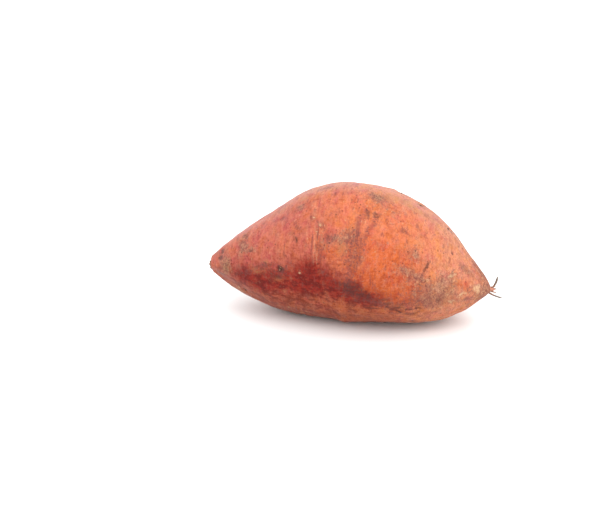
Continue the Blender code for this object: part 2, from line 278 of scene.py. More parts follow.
# Marks on the skin. A mark is an oval in a layer: long_mm and wide_mm are its half-lengths, and lean
# turns its long axis from along the root towards around it.
Mark = namedtuple("Mark", "layer share around_deg long_mm wide_mm lean_deg strength")
LAYERS = ("film", "olive", "smudge", "dark", "cork", "rings", "furrows", "blush", "glow", "bloom")
# The broad red, dark and smudge ovals low on the viewer's side, at about 80 to 115 degrees, are painted
# shade together with the skin's own red patches and stains.
MARKS = (
    # The stem half.
    Mark("film", 0.050, 10.0, 9.0, 9.0, 0.0, 0.3),
    Mark("dark", 0.055, 53.0, 1.7, 1.5, 0.0, 1.0),
    Mark("dark", 0.058, 36.0, 1.5, 1.5, 0.0, 0.9),
    Mark("film", 0.070, 76.0, 4.5, 8.0, 0.0, 1.0),
    Mark("olive", 0.075, 79.0, 4.0, 6.5, 0.0, 0.8),
    Mark("dark", 0.076, 82.0, 1.6, 4.0, 0.0, 0.7),
    Mark("dark", 0.125, 87.0, 5.0, 3.0, 0.0, 0.6),
    Mark("smudge", 0.141, 51.5, 2.0, 2.0, 0.0, 0.8),
    Mark("film", 0.143, 46.0, 5.8, 3.2, 88.0, 1.0),
    Mark("film", 0.145, 26.0, 3.2, 3.2, 0.0, 0.8),
    # From here to 0.26, the broad smudge, red and dark ovals at 79 to 96 degrees are painted shade low on
    # the flank as well as stains.
    Mark("smudge", 0.150, 84.0, 6.0, 3.0, 0.0, 0.7),
    Mark("blush", 0.170, 96.0, 16.0, 8.0, 15.0, 0.7),
    Mark("film", 0.172, 54.0, 3.4, 2.6, 0.0, 0.7),
    Mark("dark", 0.174, 55.5, 1.5, 1.3, 0.0, 0.8),
    Mark("olive", 0.190, 80.0, 6.0, 3.0, 0.0, 0.7),
    Mark("dark", 0.200, 79.0, 12.0, 5.0, 8.0, 0.45),
    Mark("smudge", 0.215, 26.5, 1.8, 1.8, 0.0, 0.7),
    Mark("smudge", 0.217, 74.0, 4.0, 3.0, 0.0, 0.9),
    Mark("olive", 0.224, 70.0, 3.6, 1.8, 8.0, 0.8),
    Mark("blush", 0.240, 93.0, 22.0, 8.0, 8.0, 0.8),
    Mark("dark", 0.241, 72.5, 3.0, 1.2, 5.0, 0.7),
    Mark("smudge", 0.255, 85.0, 12.0, 4.0, 5.0, 0.35),
    Mark("olive", 0.262, 91.0, 6.0, 3.0, 0.0, 0.7),
    Mark("dark", 0.268, 88.0, 5.0, 2.0, 10.0, 0.7),
    Mark("smudge", 0.277, 36.5, 4.8, 1.2, 88.0, 0.6),
    Mark("dark", 0.281, 79.0, 2.2, 2.4, 0.0, 1.0),
    Mark("cork", 0.281, 79.0, 0.8, 0.8, 0.0, 0.8),
    Mark("smudge", 0.283, 80.5, 4.4, 4.4, 0.0, 0.9),
    Mark("smudge", 0.317, 28.5, 3.6, 3.2, 0.0, 0.8),
    Mark("smudge", 0.330, 74.0, 3.4, 3.0, 0.0, 0.7),
    Mark("dark", 0.331, 53.5, 1.2, 1.6, 0.0, 0.7),
    # A broad dark oval low on the flank: painted shade.
    Mark("dark", 0.345, 83.0, 14.0, 4.0, 8.0, 0.45),
    Mark("cork", 0.349, 50.5, 2.2, 1.8, 0.0, 0.35),
    Mark("cork", 0.356, 84.0, 1.2, 0.8, 0.0, 0.8),
    Mark("dark", 0.371, 55.5, 1.5, 2.0, 0.0, 0.9),
    Mark("smudge", 0.381, 45.0, 4.2, 2.6, 75.0, 0.8),
    # Dark red patches low on the flank, darkened further as painted shade.
    Mark("blush", 0.385, 94.0, 19.0, 11.0, 8.0, 1.0),
    Mark("film", 0.394, 26.5, 3.4, 3.4, 0.0, 0.9),
    Mark("olive", 0.403, 16.5, 4.2, 3.0, 0.0, 0.9),
    Mark("blush", 0.405, 86.0, 9.0, 7.0, 60.0, 1.0),
    # The middle: the ring crease, and the streaks and films beside it.
    Mark("dark", 0.429, 41.5, 0.9, 1.4, 0.0, 0.8),
    Mark("cork", 0.436, 41.5, 1.2, 0.5, 70.0, 0.8),
    Mark("rings", 0.440, 20.0, 20.0, 2.6, 90.0, 0.4),
    Mark("cork", 0.440, 57.0, 6.5, 0.6, 92.0, 0.5),
    Mark("rings", 0.440, 66.0, 13.0, 4.2, 94.0, 1.0),
    Mark("smudge", 0.446, 47.0, 2.6, 1.2, 80.0, 0.8),
    Mark("smudge", 0.448, 68.0, 8.5, 2.6, 94.0, 0.9),
    Mark("smudge", 0.448, 86.5, 3.0, 2.4, 0.0, 0.8),
    Mark("cork", 0.452, 49.0, 2.1, 0.6, 75.0, 0.9),
    Mark("film", 0.461, 9.0, 3.0, 2.4, 0.0, 0.7),
    Mark("glow", 0.467, 71.0, 5.0, 4.0, 0.0, 0.7),
    Mark("smudge", 0.470, 62.0, 10.0, 3.5, 92.0, 0.5),
    Mark("dark", 0.474, 85.0, 1.2, 1.0, 0.0, 0.6),
    # Pale pinkish-grey along the top: painted sheen of the light from above.
    Mark("bloom", 0.480, 2.0, 34.0, 13.0, 0.0, 0.9),
    Mark("smudge", 0.480, 60.0, 2.8, 3.2, 0.0, 1.0),
    Mark("film", 0.500, 61.0, 4.0, 3.0, 0.0, 0.7),
    # Smudge, dark and red ovals low on the flank: painted shade as well as stains.
    Mark("smudge", 0.500, 92.0, 10.0, 6.0, 8.0, 0.6),
    Mark("dark", 0.505, 96.0, 10.0, 5.0, 8.0, 0.5),
    Mark("smudge", 0.509, 19.0, 5.0, 2.2, 8.0, 0.6),
    Mark("blush", 0.510, 101.0, 14.0, 8.0, 10.0, 0.6),
    Mark("olive", 0.511, 67.5, 5.0, 6.0, 0.0, 0.8),
    Mark("smudge", 0.520, 74.0, 8.0, 9.0, 0.0, 0.5),
    Mark("film", 0.522, 57.0, 4.0, 5.0, 0.0, 0.8),
    Mark("dark", 0.533, 38.0, 1.0, 1.0, 0.0, 0.6),
    Mark("smudge", 0.540, 60.0, 7.0, 3.4, 90.0, 0.85),
    Mark("smudge", 0.541, 49.0, 6.5, 1.5, 90.0, 0.8),
    Mark("smudge", 0.545, 92.0, 9.0, 2.6, 92.0, 1.0),
    Mark("rings", 0.550, 62.0, 16.0, 4.0, 88.0, 0.6),
    Mark("dark", 0.551, 34.0, 2.0, 1.0, 90.0, 0.6),
    Mark("smudge", 0.552, 35.0, 3.6, 2.2, 90.0, 1.0),
    Mark("smudge", 0.552, 76.0, 10.0, 4.0, 94.0, 1.0),
    Mark("smudge", 0.554, 41.0, 2.4, 1.3, 90.0, 0.6),
    Mark("smudge", 0.557, 65.0, 6.5, 3.2, 86.0, 0.95),
    Mark("smudge", 0.559, 18.5, 2.6, 2.6, 0.0, 0.7),
    # The tail half.
    # From here to 0.61, the broad dark, smudge and red ovals low on the flank are painted shade as well
    # as stains.
    Mark("dark", 0.560, 98.0, 6.0, 8.0, 0.0, 0.5),
    Mark("smudge", 0.560, 101.0, 7.0, 4.0, 20.0, 0.6),
    Mark("film", 0.570, 19.0, 4.6, 5.0, 0.0, 1.0),
    Mark("dark", 0.575, 37.0, 2.8, 1.1, 80.0, 0.8),
    Mark("smudge", 0.575, 48.0, 5.5, 1.5, 96.0, 0.9),
    Mark("smudge", 0.581, 40.0, 4.0, 1.8, 80.0, 0.9),
    Mark("smudge", 0.587, 14.0, 2.0, 2.6, 0.0, 0.6),
    Mark("smudge", 0.595, 94.0, 2.2, 1.4, 30.0, 0.9),
    Mark("blush", 0.595, 103.0, 19.0, 8.0, 8.0, 1.0),
    Mark("film", 0.600, 28.0, 10.0, 8.0, 0.0, 0.4),
    Mark("olive", 0.605, 12.0, 4.0, 4.5, 0.0, 0.8),
    Mark("dark", 0.605, 101.0, 12.0, 5.0, 10.0, 0.75),
    Mark("dark", 0.613, 97.0, 1.5, 1.0, 0.0, 0.7),
    Mark("dark", 0.615, 348.5, 2.6, 1.6, 20.0, 1.0),
    Mark("olive", 0.636, 6.0, 4.5, 3.4, 0.0, 0.8),
    Mark("glow", 0.650, 70.0, 20.0, 13.0, 20.0, 1.0),
    # A long smudge along the bottom of the flank: painted shade where the root meets the floor.
    Mark("smudge", 0.660, 105.5, 17.0, 4.0, 6.0, 1.0),
    Mark("film", 0.660, 332.0, 20.0, 12.0, 12.0, 0.8),
    Mark("smudge", 0.661, 40.0, 2.8, 2.4, 0.0, 0.8),
    Mark("glow", 0.665, 87.0, 19.0, 9.0, 12.0, 1.0),
    Mark("olive", 0.667, 11.0, 6.5, 3.6, 0.0, 0.8),
    Mark("dark", 0.677, 354.0, 2.6, 1.9, 0.0, 1.0),
    Mark("smudge", 0.679, 69.5, 1.8, 1.6, 0.0, 0.6),
    Mark("smudge", 0.683, 41.5, 2.6, 1.9, 0.0, 0.7),
    Mark("furrows", 0.690, 111.0, 17.0, 6.5, 14.0, 1.0),
    Mark("dark", 0.692, 109.5, 3.4, 1.0, 6.0, 0.8),
    Mark("olive", 0.700, 104.0, 9.0, 3.0, 6.0, 0.7),
    Mark("smudge", 0.709, 49.5, 2.4, 1.5, 0.0, 0.6),
    Mark("olive", 0.711, 6.5, 8.0, 3.6, 0.0, 0.8),
    Mark("smudge", 0.715, 35.5, 2.0, 1.5, 0.0, 0.7),
    Mark("film", 0.715, 73.0, 5.5, 3.2, 10.0, 0.8),
    Mark("film", 0.721, 55.5, 3.6, 3.6, 0.0, 0.9),
    Mark("glow", 0.725, 92.0, 10.0, 5.0, 8.0, 1.0),
    Mark("dark", 0.734, 112.5, 3.6, 1.1, 8.0, 0.9),
    # Pale pinkish-grey along the top again: painted sheen of the light from above.
    Mark("bloom", 0.740, 0.0, 34.0, 13.0, 0.0, 0.7),
    # The smudges at 96 to 114 degrees from here to 0.80 are painted shade low on the flank as well as
    # stains.
    Mark("smudge", 0.745, 103.0, 9.0, 3.0, 6.0, 0.8),
    Mark("cork", 0.748, 1.5, 4.5, 2.0, 0.0, 0.35),
    Mark("film", 0.750, 75.0, 5.5, 3.4, 0.0, 0.8),
    Mark("smudge", 0.760, 114.0, 15.0, 4.0, 6.0, 0.6),
    Mark("smudge", 0.760, 337.0, 7.0, 2.4, 10.0, 0.7),
    Mark("dark", 0.763, 109.0, 3.4, 1.0, 4.0, 0.9),
    Mark("dark", 0.770, 61.0, 4.6, 1.2, 92.0, 1.0),
    Mark("smudge", 0.770, 72.0, 7.5, 1.5, 92.0, 1.0),
    Mark("smudge", 0.770, 96.0, 12.0, 3.5, 8.0, 0.6),
    Mark("smudge", 0.776, 86.0, 6.0, 5.0, 0.0, 0.5),
    Mark("film", 0.783, 89.0, 7.0, 5.0, 0.0, 0.5),
    Mark("dark", 0.792, 106.5, 3.6, 1.1, 6.0, 0.8),
    Mark("film", 0.800, 66.0, 34.0, 30.0, 0.0, 0.25),
    Mark("smudge", 0.800, 99.0, 7.0, 3.0, 10.0, 0.6),
    Mark("dark", 0.802, 352.5, 2.4, 1.8, 0.0, 1.0),
    Mark("film", 0.812, 94.5, 6.0, 4.5, 0.0, 0.8),
    Mark("cork", 0.816, 19.0, 3.0, 2.4, 0.0, 0.35),
    Mark("film", 0.828, 86.0, 6.0, 6.0, 0.0, 0.8),
    Mark("dark", 0.842, 25.5, 1.4, 1.2, 0.0, 0.9),
    Mark("blush", 0.844, 96.0, 2.6, 2.0, 40.0, 0.5),
    Mark("film", 0.850, 74.0, 6.0, 7.0, 0.0, 0.7),
    Mark("film", 0.850, 324.0, 13.0, 14.0, -20.0, 0.7),
    Mark("film", 0.860, 90.0, 14.0, 11.0, 0.0, 0.4),
    Mark("cork", 0.864, 58.5, 3.3, 1.1, -31.0, 1.0),
    Mark("olive", 0.873, 86.0, 4.0, 5.0, 0.0, 0.7),
    Mark("cork", 0.874, 113.0, 2.4, 1.0, 90.0, 0.7),
    Mark("olive", 0.878, 95.0, 6.0, 4.0, 0.0, 0.6),
    Mark("cork", 0.883, 96.0, 2.6, 1.0, -10.0, 0.8),
    Mark("film", 0.896, 34.5, 3.6, 2.6, 0.0, 0.8),
    Mark("smudge", 0.900, 334.0, 6.0, 3.0, -10.0, 0.7),
    Mark("glow", 0.907, 68.5, 5.0, 3.6, 0.0, 0.7),
    Mark("cork", 0.908, 86.0, 2.8, 1.8, -20.0, 0.8),
    Mark("film", 0.924, 39.0, 3.0, 2.4, 0.0, 0.7),
    Mark("smudge", 0.924, 74.0, 2.2, 2.4, 0.0, 0.8),
    Mark("smudge", 0.933, 94.5, 3.0, 1.6, 0.0, 0.7),
    Mark("smudge", 0.948, 84.0, 4.0, 2.6, 0.0, 0.5),
    Mark("cork", 0.956, 70.5, 2.2, 2.4, 0.0, 1.0),
    Mark("film", 0.960, 345.0, 8.0, 8.0, 0.0, 0.9),
    Mark("smudge", 0.965, 345.0, 6.0, 5.0, 0.0, 0.8),
    Mark("film", 0.980, 98.5, 3.0, 4.0, 0.0, 0.9),
    Mark("film", 0.985, 110.0, 8.0, 9.0, 0.0, 0.7),
)
# Marks listed for the far side and the underside.
FAR_MARKS = (
    Mark("blush", 0.300, 215.0, 30.0, 12.0, 10.0, 0.40),
    Mark("blush", 0.180, 285.0, 20.0, 10.0, -15.0, 0.35),
    Mark("blush", 0.720, 205.0, 22.0, 9.0, 0.0, 0.35),
    Mark("glow", 0.640, 262.0, 24.0, 14.0, 10.0, 0.80),
    Mark("glow", 0.350, 305.0, 16.0, 10.0, 0.0, 0.50),
    # The first of these is pale pinkish-grey high on the far side, painted sheen of the light from above;
    # the second, at 240 degrees, is a pale patch lower on the far side.
    Mark("bloom", 0.480, 325.0, 34.0, 10.0, 0.0, 0.60),
    Mark("bloom", 0.820, 240.0, 16.0, 10.0, 30.0, 0.60),
    Mark("film", 0.230, 240.0, 12.0, 7.0, 20.0, 0.80),
    Mark("film", 0.560, 225.0, 14.0, 6.0, -20.0, 0.70),
    Mark("film", 0.880, 270.0, 12.0, 10.0, 0.0, 0.70),
    Mark("rings", 0.300, 250.0, 18.0, 3.4, 90.0, 0.80),
    Mark("smudge", 0.306, 250.0, 16.0, 2.4, 92.0, 0.70),
    Mark("smudge", 0.664, 300.0, 14.0, 2.2, 90.0, 0.70),
    Mark("cork", 0.470, 282.0, 5.0, 1.4, 20.0, 0.90),
)
# Small marks drawn for the same sides. A kind is a layer and the range of a half-length in mm, and a
# ring's lean is drawn around the first value, with the second as its spread.
HIDDEN_MARKS = 119
HIDDEN_MARKS_SEED = 23
HIDDEN_MARKS_SHARES = (0.06, 0.94)
HIDDEN_MARKS_DEG = (125.0, 338.0)
HIDDEN_NARROWINGS = (0.25, 0.8)
HIDDEN_STRENGTHS = (0.6, 1.0)
HIDDEN_RING_LEAN_DEG = (90.0, 12.0)
HIDDEN_KINDS = (
    ("film", 4.0, 11.0),
    ("smudge", 2.0, 6.0),
    ("cork", 1.0, 3.0),
    ("dark", 1.0, 2.4),
    ("olive", 3.0, 8.0),
    ("smudge", 1.5, 4.0),
    ("rings", 5.0, 14.0),
)


def tone(red, green, blue):
    """A colour given on the screen's 0 to 255 scale, as a shader's linear red, green and blue."""
    parts = (red / 255, green / 255, blue / 255)
    return tuple(p / 12.92 if p <= 0.04045 else ((p + 0.055) / 1.055) ** 2.4 for p in parts)


def smooth_through(knots, heights, shares):
    """The natural cubic spline through (knot, height) pairs, read at every share."""
    gaps = np.diff(knots)
    slopes = np.diff(heights) / gaps
    count = len(knots)
    matrix = np.eye(count)
    right = np.zeros(count)
    for i in range(1, count - 1):
        matrix[i, i - 1 : i + 2] = gaps[i - 1], 2 * (gaps[i - 1] + gaps[i]), gaps[i]
        right[i] = 6 * (slopes[i] - slopes[i - 1])
    bends = np.linalg.solve(matrix, right)
    span = np.clip(np.searchsorted(knots, shares) - 1, 0, count - 2)
    gap = gaps[span]
    after = shares - knots[span]
    before = knots[span + 1] - shares
    return (
        (bends[span] * before**3 + bends[span + 1] * after**3) / (6 * gap)
        + (heights[span] / gap - bends[span] * gap / 6) * before
        + (heights[span + 1] / gap - bends[span + 1] * gap / 6) * after
    )


def station_value(name, shares):
    """One column of the station table, made smooth along the root."""
    knots = np.array([station.share for station in STATIONS])
    return smooth_through(knots, np.array([getattr(s, name) for s in STATIONS]), shares)


def turn_between(angle, other):
    """The signed angle from other to angle, in radians, between minus and plus half a turn."""
    return (angle - other + math.pi) % (2 * math.pi) - math.pi


def bell(distance, width):
    """exp(-(distance / width) squared): 1 in the middle, fading to 0 over about two widths."""
    return np.exp(-((distance / width) ** 2))


def hidden_eyes():
    """The eyes of the far side and the underside: rows along the root, with a seeded stray."""
    draw = random.Random(HIDDEN_SEED)
    first, last = HIDDEN_SHARES
    eyes = []
    for row, row_deg in enumerate(HIDDEN_ROWS_DEG):
        for place in range(HIDDEN_EYES_IN_ROW):
            stray = draw.uniform(*HIDDEN_STRAY_STEPS)
            step = (place + 0.5 * (row % 2) + stray) / HIDDEN_EYES_IN_ROW
            share = first + (last - first) * min(step, 1.0)
            around_deg = row_deg + draw.uniform(-HIDDEN_STRAY_DEG, HIDDEN_STRAY_DEG)
            depth = draw.uniform(*HIDDEN_DEPTH_MM)
            eyes.append(Eye(share, around_deg, depth, HIDDEN_LONG_MM, HIDDEN_WIDE_MM))
    return eyes


def lobe_relief(share, around):
    """Broad swellings: for each lobe, height times cos(count times the angle, twisted along the root)."""
    relief = np.zeros_like(share)
    for lobe in LOBES:
        phase = around - math.radians(lobe.start_deg) - math.radians(lobe.twist_deg) * share
        relief += lobe.height_mm * np.cos(lobe.count * phase)
    return relief


def crease_relief(share, around):
    """Ring grooves: for each crease, minus depth times a bell along and a bell around."""
    relief = np.zeros_like(share)
    for crease in CREASES:
        reach = bell(
            turn_between(around, math.radians(crease.middle_deg)), math.radians(crease.reach_deg)
        )
        line = crease.share * LENGTH_MM + crease.lean_mm * np.sin(2 * around)
        relief -= crease.depth_mm * reach * bell(share * LENGTH_MM - line, crease.width_mm)
    return relief


def eye_relief(share, around, section_mm):
    """A bell-shaped pit for each eye, with a lower, wider lip beside it on the stem side."""
    relief = np.zeros_like(share)
    for eye in (*SEEN_EYES, *hidden_eyes()):
        along = (share - eye.share) * LENGTH_MM / eye.long_mm
        aside = turn_between(around, math.radians(eye.around_deg)) * section_mm / eye.wide_mm
        pit = bell(np.hypot(along, aside), 1.0)
        lip = bell(np.hypot(along + LIP_AWAY, aside), LIP_SPREAD)
        relief -= eye.depth_mm * (pit - LIP_HEIGHT * lip)
    return relief


def wrinkle_relief(share, around):
    """Dried wrinkles on the belly and the tail: sin(count times the angle) warped, under bells.

    The warp is 3 sin(9 share) + 2 sin(3 around), and where two bells meet the higher one counts.
    """
    belly = bell(turn_between(around, math.radians(BELLY_DEG)), math.radians(BELLY_REACH_DEG))
    belly = BELLY_WRINKLES * belly * bell(share - BELLY_SHARE, BELLY_REACH_SHARE)
    where = np.maximum(belly, bell(share - TAIL_SHARE, TAIL_REACH_SHARE))
    ripple = np.sin(WRINKLE_COUNT * around + 3 * np.sin(9 * share) + 2 * np.sin(3 * around))
    return WRINKLE_HEIGHT_MM * ripple * where


def axis_frame(share):
    """Along the root: the axis points in mm, and the unit vectors upright and to the viewer's side."""
    before = np.clip(share - AXIS_STEP, 0, 1)
    beyond = np.clip(share + AXIS_STEP, 0, 1)
    columns = ("axis_aside_mm", "axis_height_mm")
    run = (beyond - before) * LENGTH_MM
    drift, rise = (station_value(name, beyond) - station_value(name, before) for name in columns)
    axis = np.stack([run, drift, rise], axis=-1)
    axis /= np.linalg.norm(axis, axis=-1, keepdims=True)
    upright = np.array([0.0, 0.0, 1.0]) - axis * axis[..., 2:3]
    upright /= np.linalg.norm(upright, axis=-1, keepdims=True)
    aside, height = (station_value(name, share) for name in columns)
    return np.stack([share * LENGTH_MM, aside, height], axis=-1), upright, np.cross(axis, upright)


def section_at(lengthwise):
    """The section's half-height in mm: fullness times sin(lengthwise), which is 0 at both ends."""
    return station_value("fullness_mm", (1 - np.cos(lengthwise)) / 2) * np.sin(lengthwise)


def form_points(lengthwise, around, fine_mm=0.0):
    """Points of the root in mm, from the stem end. lengthwise runs from 0 there to pi at the tail.

    The share of the length is (1 - cos lengthwise) / 2. Each section is an ellipse square to the
    smooth axis. Its half-height is the section's, plus the relief and fine_mm. The stem end has a
    dished scar inside a raised rim, and what would lie below the surface is pressed flat on it with a
    soft edge: the height z becomes (z + sqrt(z^2 + edge^2)) / 2.
    """
    share = (1 - np.cos(lengthwise)) / 2
    centre, upright, front = axis_frame(share)
    section = section_at(lengthwise)
    relief = lobe_relief(share, around) + crease_relief(share, around)
    relief += eye_relief(share, around, section) + wrinkle_relief(share, around) + fine_mm
    out = section + relief * np.clip(section / RELIEF_FADE_MM, 0, 1)
    rim = STEM_SCAR_RIM_HEIGHT_MM * bell(section - STEM_SCAR_RIM_MM, STEM_SCAR_RIM_MM / 3)
    dish = STEM_SCAR_DISH_MM * bell(section, STEM_SCAR_RIM_MM * 2 / 3)
    centre[..., 0] += (dish - rim) * (share < 0.5)
    rise = upright * (out * np.cos(around))[..., None]
    spread = front * (out * WIDTH_TO_HEIGHT * np.sin(around))[..., None]
    points = centre + rise + spread
    height = points[..., 2]
    points[..., 2] = (height + np.hypot(height, BELLY_EDGE_MM)) / 2
    return points


def gentle_noise(points, seed):
    """Smooth random values from -1 to 1: seeded ones on a unit lattice, blended by 3t^2 - 2t^3."""
    values = np.random.default_rng(seed).uniform(-1, 1, (LATTICE,) * 3)
    corner = np.floor(points).astype(int)
    part = points - corner
    part = part * part * (3 - 2 * part)
    total = np.zeros(points.shape[:-1])
    for step in itertools.product((0, 1), repeat=3):
        weight = np.where(step, part, 1 - part).prod(axis=-1)
        index = (corner + step) % LATTICE
        total += weight * values[index[..., 0], index[..., 1], index[..., 2]]
    return total


def edge_stray(points):
    """How far the marks at each point are pushed along and around, in mm, so that edges wander.

    Each is the sum of reach times gentle noise of the points over the pitch.
    """
    return tuple(
        sum(
            wander.reach_mm * gentle_noise(points / wander.pitch_mm, seed + number)
            for number, wander in enumerate(WANDERS)
        )
        for seed in WANDER_SEEDS
    )


def marks_of(layer, marks, share, around, section_mm, stray):
    """One layer of marks, from 0 to 1: soft ovals exp(-d^2), d being the distance over half-lengths."""
    bare = np.ones_like(share)
    for mark in marks:
        if mark.layer != layer:
            continue
        along = (share - mark.share) * LENGTH_MM + stray[0]
        aside = turn_between(around, math.radians(mark.around_deg)) * section_mm + stray[1]
        lean = math.radians(mark.lean_deg)
        length = (along * math.cos(lean) + aside * math.sin(lean)) / mark.long_mm
        width = (aside * math.cos(lean) - along * math.sin(lean)) / mark.wide_mm
        bare *= 1 - mark.strength * bell(np.hypot(length, width), 1.0)
    return 1 - bare


def hidden_marks():
    """Small marks for the unseen sides, of each kind in turn, by a seeded draw."""
    draw = random.Random(HIDDEN_MARKS_SEED)
    marks = []
    for number in range(HIDDEN_MARKS):
        layer, least, most = HIDDEN_KINDS[number % len(HIDDEN_KINDS)]
        length = draw.uniform(least, most)
        width = length * draw.uniform(*HIDDEN_NARROWINGS)
        ring = layer == "rings"
        lean = draw.gauss(*HIDDEN_RING_LEAN_DEG) if ring else draw.uniform(0.0, 180.0)
        share = draw.uniform(*HIDDEN_MARKS_SHARES)
        around_deg = draw.uniform(*HIDDEN_MARKS_DEG)
        strength = draw.uniform(*HIDDEN_STRENGTHS)
        marks.append(Mark(layer, share, around_deg, length, width, lean, strength))
    return marks


def solid_shift():
    """What moves the form onto the solid: its stem end on the box's low X, its middle on the box's."""
    lengthwise, around = np.meshgrid(
        np.linspace(0, math.pi, FORM_STEPS), np.linspace(0, 2 * math.pi, FORM_STEPS), indexing="ij"
    )
    points = form_points(lengthwise, around) * MM
    low, high = (np.array(corner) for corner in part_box(NODE))
    shift_x = low[0] - points[..., 0].min()
    shift_y = (low[1] + high[1] - points[..., 1].min() - points[..., 1].max()) / 2
    return np.array([shift_x, shift_y, low[2]])


SHIFT = solid_shift()


def capped_net(rows, columns):
    """Faces of a closed net: rows of columns points each, then the first and the last pole."""
    corner = np.arange((rows - 1) * columns)
    beside = corner + 1 - columns * ((corner % columns) == columns - 1)
    quads = np.stack([corner, corner + columns, beside + columns, beside], axis=1)
    ring = np.arange(columns)
    next_ring = (ring + 1) % columns
    first = np.stack([np.full(columns, rows * columns), ring, next_ring], axis=1)
    last_row = (rows - 1) * columns
    last = np.stack(
        [np.full(columns, rows * columns + 1), last_row + next_ring, last_row + ring], axis=1
    )
    return quads, np.concatenate([first, last])


def new_piece(name, points, quads, triangles, material, attributes=None):
    """One mesh object at the origin from whole arrays of points, quads and triangles."""
    mesh = bpy.data.meshes.new(name)
    corners = np.concatenate([quads.ravel(), triangles.ravel()])
    starts = np.concatenate(
        [np.arange(len(quads)) * 4, len(quads) * 4 + np.arange(len(triangles)) * 3]
    )
    mesh.vertices.add(len(points))
    mesh.vertices.foreach_set("co", np.ascontiguousarray(points, np.float32).ravel())
    mesh.loops.add(len(corners))
    mesh.loops.foreach_set("vertex_index", corners.astype(np.int32))
    mesh.polygons.add(len(starts))
    mesh.polygons.foreach_set("loop_start", starts.astype(np.int32))
    for layer, values in (attributes or {}).items():
        held = mesh.attributes.new(layer, "FLOAT", "POINT")
        held.data.foreach_set("value", np.ascontiguousarray(values, np.float32))
    mesh.update(calc_edges=True)
    mesh.validate()
    mesh.shade_smooth()
    mesh.materials.append(material)
    piece = bpy.data.objects.new(name, mesh)
    bpy.context.scene.collection.objects.link(piece)
    return piece


def settle(piece):
    """The piece rides with the root and stands for the solid, which is hidden."""
    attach(piece, BODY)
    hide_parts(NODE)


def skin_grid(rows, columns):
    """The net's own coordinates: rows of lengthwise and around angles, then the two poles.

    The rows lie closer together in the middle of the root, where a turn of the angle runs furthest:
    lengthwise = pi u + ROWS_DRAWN_IN / 2 sin(2 pi u), u being even steps from 0 to 1.
    """
    steps = np.linspace(0, 1, rows + 2)[1:-1]
    lengthwise, around = np.meshgrid(
        math.pi * steps + ROWS_DRAWN_IN / 2 * np.sin(2 * math.pi * steps),
        np.linspace(math.pi, 3 * math.pi, columns, endpoint=False),
        indexing="ij",
    )
    lengthwise = np.concatenate([lengthwise.ravel(), [0.0, math.pi]])
    return lengthwise, np.concatenate([around.ravel(), [0.0, 0.0]])


def eye_spots_and_shade_layer(share, around, section_mm, stray):
    """How dark each point is by the eyes, 0 to 1: their dark spots and painted shade in the pits, a bell
    over each by its depth.
    """
    bare = np.ones_like(share)
    for eye in (*SEEN_EYES, *hidden_eyes()):
        along = ((share - eye.share) * LENGTH_MM + EYE_STRAY * stray[0]) / eye.long_mm
        aside = turn_between(around, math.radians(eye.around_deg)) * section_mm
        aside = (aside + EYE_STRAY * stray[1]) / eye.wide_mm
        darkness = max(eye.depth_mm, 0.0) * EYE_DARKNESS
        bare *= 1 - darkness * bell(np.hypot(along, aside), EYE_SPREAD)
    return np.clip(1 - bare, 0, 1)


def turned(share, turn):
    """0 up to the turn's share of the length, then rising evenly to 1 over so much more of it."""
    return np.clip((share - turn.share) / turn.over, 0, 1)


def band_around(around, band):
    """A bell around the root, at the band's middle."""
    return bell(turn_between(around, math.radians(band.middle_deg)), band.reach)


def before_tail(share, band):
    """1 along the root, less a bell of tail_fade at the band's tail_share."""
    return 1 - band.tail_fade * bell(share - band.tail_share, band.tail_reach)


def skin_layers(points, lengthwise, around):
    """Every layer of marks at every point, then the eyes, the dry ends and where the colour turns."""
    share = (1 - np.cos(lengthwise)) / 2
    section = section_at(lengthwise)
    stray = edge_stray(points)
    marks = (*MARKS, *FAR_MARKS, *hidden_marks())
    layers = {name: marks_of(name, marks, share, around, section, stray) for name in LAYERS}
    layers["eyes"] = eye_spots_and_shade_layer(share, around, section, stray)
    layers["stem"] = bell(section, DRY_STEM_MM) * (share < 0.5)
    layers["dry_tail"] = bell(section, DRY_TAIL_MM) * (share > 0.5)
    layers["warmth"] = turned(share, WARMTH)
    layers["tan"] = turned(share, TAN_AND_LIGHT)
    # The underside's darker red-brown, the skin's own tone together with painted shade, and the painted
    # shade of the low flank, which the glow clears.
    layers["belly"] = band_around(around, BELLY_SHADE_BAND) * before_tail(share, BELLY_SHADE_BAND)
    low = np.clip(band_around(around, SHADED_LOW_BAND) * SHADED_LOW_BAND_GAIN - (SHADED_LOW_BAND_GAIN - 1), 0, 1)
    unlit = 1 - GLOW_CLEARS_LOW * layers["glow"]
    layers["low"] = low * unlit * before_tail(share, SHADED_LOW_BAND)
    return layers


def lump_relief(points):
    """Lumps that the solid is too coarse for: for each, height times gentle noise over its pitch."""
    return sum(
        lump.height_mm * gentle_noise(points * lump.stretch / lump.pitch_mm, lump.seed)
        for lump in LUMPS
    )


def ridge_relief(points, layers, ring_depth_mm, furrow_depth_mm):
    """Sharp ridges inside the ring and furrow marks: stretched noise, times its layer."""
    rings = gentle_noise(points * RING_RIDGES, RING_SEED)
    furrows = gentle_noise(points * FURROW_RIDGES, FURROW_SEED)
    return ring_depth_mm * rings * layers["rings"] + furrow_depth_mm * furrows * layers["furrows"]


